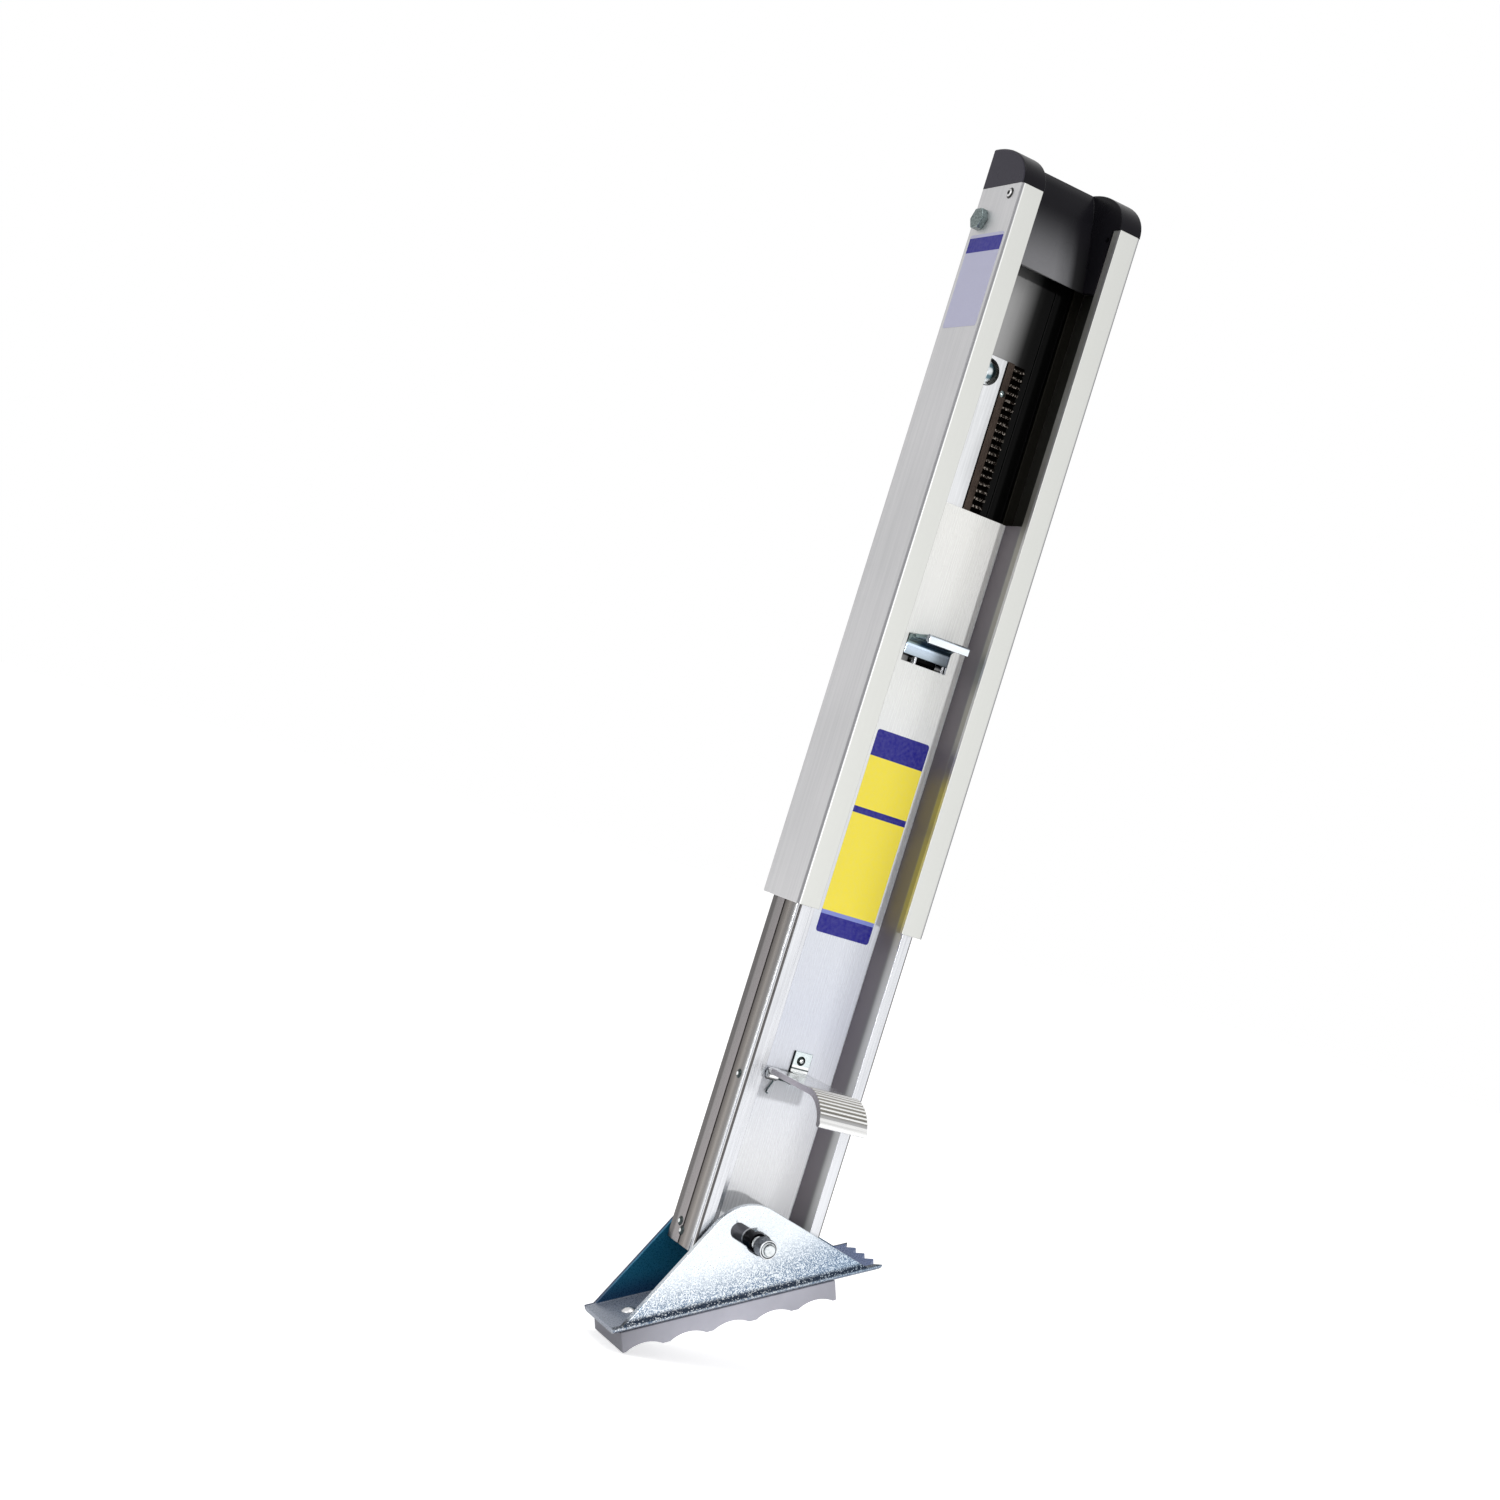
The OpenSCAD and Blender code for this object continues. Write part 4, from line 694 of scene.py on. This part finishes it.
def carved(piece, cutters):
    # Cuts small recesses out of a piece and keeps the result as its mesh
    piece.modifiers.clear()
    for k, cutter in enumerate(cutters):
        cut = piece.modifiers.new(f"recess{k}", "BOOLEAN")
        cut.object = cutter
        cut.solver = "EXACT"
        cut.use_self = True
    mesh = bpy.data.meshes.new_from_object(piece.evaluated_get(bpy.context.evaluated_depsgraph_get()))
    piece.modifiers.clear()
    piece.data = mesh
    mesh.set_sharp_from_angle(angle=radians(usualSmooth))
    for cutter in cutters:
        bpy.data.objects.remove(cutter)


def crossCutter(centre, axis, shape, turn):
    # Two crossed wedges for a driver's recess, narrower at the bottom
    bm = bmesh.new()
    span = shape["span"] / 1000
    narrow = Matrix.Scale(1.6 * shape["slot"] / shape["span"], 4, (0, 1, 0))
    for quarter in (0, 90):
        bmesh.ops.create_cone(bm, cap_ends=True, segments=4, radius1=0.12 * span, radius2=span / 2,
                              depth=shape["depth"] / 500,
                              matrix=facing(centre, axis)
                              @ Matrix.Rotation(radians(turn + quarter), 4, "Z")
                              @ narrow @ Matrix.Rotation(radians(45), 4, "Z"))
    return newObject("crossCutter", meshFrom(bm, "crossCutter"))


def holeCutter(centre, axis, radius, depth):
    bm = bmesh.new()
    bmesh.ops.create_cone(bm, cap_ends=True, segments=16, radius1=radius / 1000, radius2=radius / 1000,
                          depth=depth / 500, matrix=facing(centre, axis))
    return newObject("holeCutter", meshFrom(bm, "holeCutter"))


outX, backX = Vector((1, 0, 0)), Vector((-1, 0, 0))
outY, backY = Vector((0, 1, 0)), Vector((0, -1, 0))

# Pieces that only need soft edges
edgeWidths = {
    "housing_channel": 0.25, "inner_leg": 0.2, "backing_strip": 0.25, "cross_bolt": 0.4,
    "cross_bolt_nut": 0.4, "rail_washers": 0.3, "rail_lock_nuts": 0.4, "pedal_bracket": 0.35,
    "pedal_rod": 0.3, "foot_pedal": 0.3, "spring_anchor_pin": 0.25, "pawl_pin": 0.25,
    "ratchet_pawl": 0.12, "rack": 0.1, "rack_rivets": 0.12, "pivot_spacer": 0.3, "pivot_sleeve": 0.3,
    "tread_pad": 0.6, "pad_rivets": 0.25, "pawl_spring": 0.08,
}
# Pad rivets: painted shade in place of their holes
padHeads = {"x": 0.021, "y": (-0.231, -0.1818, -0.1572), "hole": 0.0014, "colour": (0.02, 0.02, 0.02)}
# Bracket: painted shade in a dark line across its lower bend and along its left edge
bracketPaint = {
    "dark line": {"spans": (("Z", -0.3274, -0.3266),), "colour": (0.05, 0.07, 0.07)},
    "left edge": {"spans": (("Y", -0.001, 0.0013),), "colour": (0.006, 0.008, 0.01)},
}
# painted highlight across the bracket's lower bend
bracketHighlight = {"stops": ((-0.3300, 0), (-0.3288, 1), (-0.3255, 1), (-0.3250, 0)),
               "colour": (0.95, 0.97, 0.97)}
bracket = grainedMetal("bracketZinc")
bendHighlight = ramp(bracket.node_tree, axisOf(bracket.node_tree, "Z"), bracketHighlight["stops"])
laidOver(bracket, bendHighlight, bracketHighlight["colour"])
painted(bracket, bracketPaint.values())
darkHeads = grainedMetal("darkHeads")
p = padHeads
ownFinish = {
    "cross_bolt": darkHeads, "rack_rivets": darkHeads, "pedal_bracket": bracket,
    "pad_rivets": grainedMetal("padHeads", [{"ring": ((p["x"], y, 0), (1, 1, 0), -0.001, p["hole"]),
                                             "colour": p["colour"]} for y in p["y"]]),
}
for node, width in edgeWidths.items():
    bm = copyOf(node)
    softened(bm, width)
    finished(bm, node.replace("_", "-") + "-soft", bodyOf[node], slotOf[node], (node,), ownFinish.get(node))
print("soft copies:", len(edgeWidths))

capShape = {"half": 39.5, "rim": 1.3, "rimRounds": 4, "inner": 25.5, "innerRim": 0.5, "tongueEdge": 0.5,
            "roundH": 389.8, "tongueH": 357}


def rimAt(y):
    # Tests for the edges of a cheek's rounded top that lie at a distance from the centre line
    low = at(0, 0, capShape["roundH"]).z
    return lambda e: (all(abs(abs(v.co.y) * 1000 - y) < 0.05 and v.co.z > low for v in e.verts)
                      and any(f.normal.z > 0.03 and f.normal.x > 0.01 for f in e.link_faces))


def isTongueEdge(e):
    return all(v.co.z < at(0, 0, capShape["tongueH"]).z for v in e.verts)


bm = copyOf("end_cap")
softened(bm, capShape["rim"], capShape["rimRounds"], only=rimAt(capShape["half"]))
softened(bm, capShape["innerRim"], sharper=60, only=rimAt(capShape["inner"]))
softened(bm, capShape["tongueEdge"], sharper=50, only=isTongueEdge)
finished(bm, "end-cap-soft", "housing", "black_plastic", ("end_cap",), smoothUnder=50)

leverShape = {"edge": 0.45, "rounds": 3}
bm = copyOf("release_lever")
softened(bm, leverShape["edge"], leverShape["rounds"])
finished(bm, "release-lever-soft", "lever", "zinc_sheet", ("release_lever",),
         grainedMetal("leverZinc", leverPaint.values()))
print("cap and lever done")

# Shoe: one folded sheet, so its lower bends are rounded further than its cut edges
shoeShape = {"bend": 2.7, "bendRounds": 5, "cut": 0.35}


def isLowerBend(e):
    one, two = (f.normal for f in e.link_faces)
    down = Vector((0, sin(radians(shoeTilt)), -cos(radians(shoeTilt))))
    return (one.dot(down) > 0.99 and abs(two.x) > 0.99) or (two.dot(down) > 0.99 and abs(one.x) > 0.99)


bm = copyOf("shoe")
softened(bm, shoeShape["bend"], shoeShape["bendRounds"], only=isLowerBend)
softened(bm, shoeShape["cut"], sharper=50)
finished(bm, "shoe-soft", "foot", "zinc_sheet", ("shoe",), smoothUnder=45)

# Pivot bolt, from the back of its head to its threaded end
pivotShape = {"h": -174.8, "radius": 3.85, "headRadius": 6.45, "backX": -1.7, "backRound": 0.5,
              "faceX": 1.2, "faceRound": 0.3, "shankX": 37.2, "rootX": 37.5, "root": 3.25, "endX": 50.6,
              "endRadius": 2.8, "chamfer": 0.9, "around": 40, "threadX": 38.2, "threadLength": 11.4,
              "pitch": 1.25, "sunk": 0.06, "steps": 28}
p = pivotShape
start = at(0, 0, p["h"])
bm = bmesh.new()
spunRound(bm, start, outX, [
    (p["backX"], 0), (p["backX"], p["headRadius"] - p["backRound"]),
    (p["backX"] + p["backRound"], p["headRadius"]), (p["faceX"] - p["faceRound"], p["headRadius"]),
    (p["faceX"], p["headRadius"] - p["faceRound"]), (p["faceX"], p["radius"]),
    (p["shankX"], p["radius"]), (p["rootX"], p["root"]), (p["endX"] - p["chamfer"], p["root"]),
    (p["endX"], p["endRadius"]), (p["endX"], 0)], p["around"])
threadAlong(bm, start + outX * p["threadX"] / 1000, outX, p["threadLength"], p["pitch"],
            p["root"] - p["sunk"], p["radius"], p["steps"])
finished(bm, "pivot-bolt-threaded", "leg", "zinc_steel", ("pivot_bolt",), smoothUnder=35)

# Collar on the pivot's end: grooved round its outside, with a bright rim and a hollow face
collarShape = {"startX": 40.85, "endX": 48.85, "outer": 5.18, "edge": 0.3, "lead": 0.8, "groove": 0.16,
               "grooves": 7, "ribPath": ((0, 0), (0.45, 0), (0.6, 1), (0.85, 1)), "rim": 0.55,
               "hollowRadius": 4.55, "hollowFoot": 4.45, "hollowDepth": 1.3, "bore": 3.92, "around": 48}
brightRim = {"spans": (("X", 0.0486, 0.06),), "colour": (0.80, 0.82, 0.84)}
p = collarShape
pitch = (p["endX"] - p["startX"] - 2 * p["lead"]) / p["grooves"]
ribs = [(p["startX"] + p["lead"] + pitch * (k + part), p["outer"] - sunk * p["groove"])
        for k in range(p["grooves"]) for part, sunk in p["ribPath"]]
hollowX = p["endX"] - p["hollowDepth"]
bm = bmesh.new()
spunRound(bm, at(0, 0, pivotShape["h"]), outX, [
    (hollowX, p["bore"]), (p["startX"], p["bore"]), (p["startX"], p["outer"] - p["edge"]),
    (p["startX"] + p["edge"], p["outer"]), *ribs, (p["endX"] - p["rim"], p["outer"]),
    (p["endX"], p["outer"] - p["edge"]), (p["endX"], p["hollowRadius"]), (hollowX, p["hollowFoot"]),
    (hollowX, p["bore"])], p["around"])
flecked = grainedMetal("fleckedCollar", [brightRim])
finished(bm, "pivot-collar-grooved", "leg", "zinc_steel", ("pivot_collar",), flecked, smoothUnder=30)

# Rail bolts: domed heads, a collar through the housing and a threaded end
railBolt = {"heights": (184, 300), "y": -7, "head": 7.5, "rise": 3.1, "domeStep": 5, "domeSteps": 13,
            "domeShort": 0.2, "faceX": 5.5, "rimX": 5.95, "rim": 7.48, "underX": 5.55, "under": 7.35,
            "shank": 2.925, "fullX": -0.3, "full": 3.175, "web": -4.5, "root": 2.425, "taperX": -17.3,
            "endX": -18.0, "endRadius": 1.925, "around": 48, "threadX": -17.1, "threadLength": 11.9,
            "pitch": 1.27, "sunk": 0.06, "steps": 24}
p = railBolt
ball = (p["head"] ** 2 + p["rise"] ** 2) / (2 * p["rise"])
angles = [radians(p["domeStep"] * k) for k in range(p["domeSteps"])]
dome = [(p["faceX"] + p["rise"] - ball + ball * cos(a), ball * sin(a))
        for a in angles if ball * sin(a) < p["head"] - p["domeShort"]]
bm = bmesh.new()
for h in p["heights"]:
    start = at(0, p["y"], h)
    spunRound(bm, start, outX, [
        *dome, (p["rimX"], p["rim"]), (p["underX"], p["under"]), (p["underX"], p["shank"]),
        (p["fullX"], p["shank"]), (p["fullX"], p["full"]), (p["web"], p["full"]), (p["web"], p["root"]),
        (p["taperX"], p["root"]), (p["endX"], p["endRadius"]), (p["endX"], 0)], p["around"])
    threadAlong(bm, start + outX * p["threadX"] / 1000, outX, p["threadLength"], p["pitch"],
                p["root"] - p["sunk"], p["shank"], p["steps"])
# Each dome has painted shade in a dark rim and a painted reflection in a dim ring on its right
domePaint = {"rim": (0.0071, 0.0080), "rimShade": (0.015, 0.015, 0.018),
             "dim": (0.0018, 0.0044, 0.0006), "dimY": (-0.008, 0), "dimReflection": (0.10, 0.17, 0.20)}
rows = []
for h in p["heights"]:
    ringPlace = (at(0, p["y"], h), (0, 1, 1))
    rows.append({"ring": (*ringPlace, *domePaint["rim"]), "colour": domePaint["rimShade"]})
    rows.append({"ring": (*ringPlace, *domePaint["dim"]), "spans": (("Y", *domePaint["dimY"]),),
                 "colour": domePaint["dimReflection"]})
domes = grainedMetal("domedHeads", rows)
finished(bm, "rail-bolts-threaded", "housing", "zinc_steel", ("rail_bolts",), domes, smoothUnder=35)
print("threads cut")

# Small screws and rivets with their recesses, and painted shade in dark rings round them
screwRingShade = (0.04, 0.05, 0.05)
sideScrew = {"spots": ((27.99, -93), (15.5, -176), (19.5, -180)), "turns": (20, 55, 5), "y": -37.3,
             "span": 3.0, "slot": 0.62, "depth": 0.75, "ring": (0.0010, 0.0029)}
p = sideScrew
sideHeads = grainedMetal("sideHeads", [{"ring": (at(x, 0, h), (1, 0, 1), *p["ring"]), "colour": screwRingShade}
                                       for x, h in p["spots"]], "screwHeads")
screws = finished(copyOf("leg_screws"), "leg-screws-recessed", "leg", "zinc_steel", ("leg_screws",),
                  sideHeads)
carved(screws, [crossCutter(at(x, p["y"], h), backY, p, turn)
                for (x, h), turn in zip(p["spots"], p["turns"])])

bracketScrew = {"x": 14.5, "y": 5.785, "h": -80.6, "turn": 30, "span": 3.0, "slot": 0.62, "depth": 0.75,
                "ring": (0.00115, 0.0029)}
p = bracketScrew
middle = at(p["x"], p["y"], p["h"])
bracketHead = grainedMetal("bracketHead", [{"ring": (middle, (0, 1, 1), *p["ring"]), "colour": screwRingShade}],
                           "screwHeads")
screw = finished(copyOf("bracket_screw"), "bracket-screw-recessed", "leg", "zinc_steel", ("bracket_screw",),
                 bracketHead)
carved(screw, [crossCutter(middle, outX, p, p["turn"])])

# painted shade round each cap rivet's drilled hole and in a dark ring further out
capRivet = {"x": 29.6, "h": 384.7, "y": 40.8, "hole": 0.85, "depth": 0.8,
            "rings": ((-0.001, 0.0012, (0.02, 0.02, 0.02)), (0.0021, 0.004, (0.03, 0.03, 0.03)))}
p = capRivet
middle = at(p["x"], 0, p["h"])
capHeads = grainedMetal("capHeads", [{"ring": (middle, (1, 0, 1), low, high), "colour": colour}
                                     for low, high, colour in p["rings"]])
rivets = finished(copyOf("cap_rivets"), "cap-rivets-drilled", "housing", "rivet_steel", ("cap_rivets",),
                  capHeads)
carved(rivets, [holeCutter(at(p["x"], side * p["y"], p["h"]), Vector((0, side, 0)), p["hole"], p["depth"])
                for side in (-1, 1)])
print("screws and rivets done")

# Lift springs, wound over their whole length, with an eye at each end
liftSpring = {"nodes": ("lift_spring_inner", "lift_spring_outer"), "x": 9.3, "radius": 2.2, "wire": 1.0,
              "steps": 10, "sides": 6, "pitch": 2.5, "anchorX": 9.0, "anchorH": -165, "lowEye": 2.3,
              "topEye": 3.9, "topH": 371.7, "neck": 3.4, "eyeAngles": (-200, 91, 24)}
p = liftSpring
bottom = p["anchorH"] + p["lowEye"] + p["neck"]
top = p["topH"] - p["topEye"] - p["neck"]
turns = round((top - bottom) / p["pitch"])
eyes = ((p["anchorH"], p["lowEye"], 1, bottom), (p["topH"], p["topEye"], -1, top))
for node in p["nodes"]:
    low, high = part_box(node)
    y = (low.y + high.y) / 2 * 1000
    bm = bmesh.new()
    wireCoil(bm, at(p["x"], y, bottom), Vector((0, 0, 1)), p, (top - bottom) / turns, turns)
    for h, reach, way, joinH in eyes:
        hook = [at(p["anchorX"] + reach * cos(radians(a)), y, h + way * reach * sin(radians(a)))
                for a in range(*p["eyeAngles"])]
        wireAlong(bm, hook + [at(p["x"] - p["radius"], y, joinH)], p["wire"])
    coil = finished(bm, node.replace("_", "-") + "-wound", "housing", "spring_steel", (node,),
                    smoothUnder=70)
    coil.modifiers.clear()
    coil.parent = None
    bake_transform(coil)
print("lift springs wound")

# Pedal spring: close curls round the rod, one leg on the leg's web and one under the pedal
pedalSpring = {"x": 16.5, "h": -90.3, "y": -7.0, "radius": 2.3, "wire": 0.9, "steps": 20, "sides": 8,
               "pitch": 1.22, "turns": 5,
               "webLeg": ((15.3, -9.3, -101.0), (13.2, -9.2, -100.8), (12.9, -8.7, -99.2),
                          (12.9, -7.0, -95.3), (14.2, -7.0, -90.3)),
               "padLeg": ((14.2, -0.9, -90.3), (14.9, -0.9, -92.0), (16.5, -0.9, -92.7),
                          (19.5, -0.9, -92.4), (24.0, -0.9, -90.9))}
p = pedalSpring
bm = bmesh.new()
wireCoil(bm, at(p["x"], p["y"], p["h"]), outY, p, p["pitch"], p["turns"])
for bentLeg in ("webLeg", "padLeg"):
    wireAlong(bm, [at(*point) for point in p[bentLeg]], p["wire"])
finished(bm, "pedal-spring-wound", "leg", "spring_steel", ("pedal_spring",), grainedMetal("coilSteel"),
         smoothUnder=70)


# Stickers
def stickerPlate(corners, outward, shape):
    # A thin plate with rounded corners, lifted off its face
    bm = bmesh.new()
    bm.faces.new([bm.verts.new(corner) for corner in corners])
    bmesh.ops.bevel(bm, geom=list(bm.verts), offset=shape["rounding"] / 1000, offset_type="OFFSET",
                    affect="VERTICES", segments=4, profile=0.5, material=-1, clamp_overlap=False)
    made = bmesh.ops.extrude_face_region(bm, geom=list(bm.faces))
    tops = [g for g in made["geom"] if isinstance(g, bmesh.types.BMVert)]
    bmesh.ops.translate(bm, verts=tops, vec=outward * shape["thick"] / 1000)
    return bm


stickerLook = {"specular": 0.15, "crisp": 0.00006, "paper": 500.0, "grain": (0.2, 0.8, 0.0, 0.08),
               "fibre": (0.75, 0.75, 0.78), "rough": (0.28, 0.4), "bumps": (0.05, 0.00005)}


def stickerFinish(name, cuts, colours):
    # Plain bands of colour from bottom to top, with crisp edges and a little grain
    look = stickerLook
    mat, tree, shader = newFinish(name, 0.34)
    shader.inputs["Specular IOR Level"].default_value = look["specular"]
    paper = noise(tree, look["paper"])
    height = axisOf(tree, "Z")
    printed = colours[0]
    for cut, following in zip(cuts, colours[1:]):
        step = between(tree, height, cut - look["crisp"], cut + look["crisp"], 0, 1)
        printed = mixed(tree, step, printed, following)
    grain = between(tree, paper, *look["grain"])
    tree.links.new(mixed(tree, grain, printed, look["fibre"]), shader.inputs["Base Color"])
    tree.links.new(between(tree, paper, *mostNoise, *look["rough"]), shader.inputs["Roughness"])
    bump(tree, shader, paper, *look["bumps"])
    return mat


around = ((0, 0), (1, 0), (1, 1), (0, 1))
sideSticker = {"x": (3.2, 35.8), "h": (312, 363.5), "y": -39.5, "thick": 0.12, "rounding": 1.2,
               "cuts": (0.1115, 0.1197), "paper": (0.50, 0.50, 0.66), "ink": (0.012, 0.008, 0.26)}
p = sideSticker
lilac = stickerFinish("lilacSticker", p["cuts"], (p["paper"], p["ink"], p["paper"]))
bm = stickerPlate([at(p["x"][i], p["y"], p["h"][j]) for i, j in around], backY, p)
finished(bm, "side-sticker", "housing", "housing_aluminium", finish=lilac)

webSticker = {"y": (-9.0, 24.5), "h": (-12, 100), "x": 12.0, "thick": 0.12, "rounding": 1.6,
              "cuts": (-0.2440, -0.2418, -0.1880, -0.1845, -0.1565), "yellow": (1.0, 0.84, 0.07),
              "blue": (0.012, 0.010, 0.26), "pale": (0.24, 0.29, 0.70)}
p = webSticker
bold = stickerFinish("boldSticker", p["cuts"],
                     (p["blue"], p["pale"], p["yellow"], p["blue"], p["yellow"], p["blue"]))
bm = stickerPlate([at(p["x"], p["y"][i], p["h"][j]) for i, j in around], outX, p)
finished(bm, "web-sticker", "leg", "leg_aluminium", finish=bold)
print("stickers placed")

# Floor, light and camera
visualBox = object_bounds()
lowest = visualBox[0].z

floorLook = {"size": 14, "cells": 8, "gap": 0.0008, "glow": 0.58}
bm = bmesh.new()
bmesh.ops.create_grid(bm, x_segments=floorLook["cells"], y_segments=floorLook["cells"],
                      size=floorLook["size"] / 2,
                      matrix=Matrix.Translation((0, 0, lowest - floorLook["gap"])))
floor = newObject("floor", meshFrom(bm, "floor"))
mat, tree, shader = newFinish("paleFloor", 0.9)
shader.inputs["Base Color"].default_value = (0.9, 0.9, 0.9, 1)
rays = tree.nodes.new("ShaderNodeLightPath")
glow = mathNode(tree, "MAXIMUM", rays.outputs["Is Glossy Ray"], rays.outputs["Is Transmission Ray"])
glow = mathNode(tree, "MAXIMUM", rays.outputs["Is Camera Ray"], glow)
shader.inputs["Emission Color"].default_value = (1, 1, 1, 1)
tree.links.new(times(tree, glow, floorLook["glow"]), shader.inputs["Emission Strength"])
floor.data.materials.append(mat)

worldGlow = {"diffuse": 0.55, "glossy": 0.88}
world = bpy.data.worlds.new("studio")
world.use_nodes = True
bpy.context.scene.world = world
tree = world.node_tree
ground = tree.nodes["Background"]
rays = tree.nodes.new("ShaderNodeLightPath")
ground.inputs["Color"].default_value = (1, 1, 1, 1)
mirrored = between(tree, rays.outputs["Is Glossy Ray"], 0, 1, worldGlow["diffuse"], worldGlow["glossy"])
seen = mathNode(tree, "MAXIMUM", rays.outputs["Is Camera Ray"], rays.outputs["Is Transmission Ray"])
tree.links.new(mathNode(tree, "MAXIMUM", mirrored, seen), ground.inputs["Strength"])

lamps = {
    "keySoftbox": {"place": (2.0, 1.3, 0.5), "size": 1.6, "power": 2},
    "leftFill": {"place": (0.2, -1.8, 0.6), "size": 1.2, "power": 6.5},
    "topSoft": {"place": (0.3, -0.3, 1.9), "size": 1.0, "power": 9},
}
lampTarget = Vector((0.02, 0, -0.15))
for name, lamp in lamps.items():
    data = bpy.data.lights.new(name, "AREA")
    data.shape = "SQUARE"
    data.size = lamp["size"]
    data.energy = lamp["power"]
    spot = Vector(lamp["place"])
    newObject(name, data).matrix_world = facing(spot, spot - lampTarget)

frontSun = {"from": (1, 0.02, 0.02), "strength": 1.15, "spread": 2.0}
data = bpy.data.lights.new("frontSun", "SUN")
data.energy = frontSun["strength"]
data.angle = radians(frontSun["spread"])
newObject("frontSun", data).matrix_world = facing((0, 0, 0), Vector(frontSun["from"]))

view = {"azimuth": 62.9065, "elevation": -1.4311, "roll": 17.4331, "place": (1.0706, -0.6196, -0.2039),
        "lens": 55.37, "sensor": 36, "near": 0.02}
a, e, r = (radians(view[key]) for key in ("azimuth", "elevation", "roll"))
back = Vector((sin(a) * cos(e), -cos(a) * cos(e), sin(e)))
right = Vector((0, 0, 1)).cross(back).normalized()
up = back.cross(right)
sideways = cos(r) * right + sin(r) * up
upwards = -sin(r) * right + cos(r) * up
cameraData = bpy.data.cameras.new("camera")
cameraData.lens = view["lens"]
cameraData.sensor_width = view["sensor"]
cameraData.clip_start = view["near"]
camera = newObject("camera", cameraData)
turned = Matrix((sideways, upwards, back)).transposed().to_4x4()
camera.matrix_world = Matrix.Translation(view["place"]) @ turned
bpy.context.scene.camera = camera
bpy.context.scene.view_settings.view_transform = "Standard"

print("scene ready")
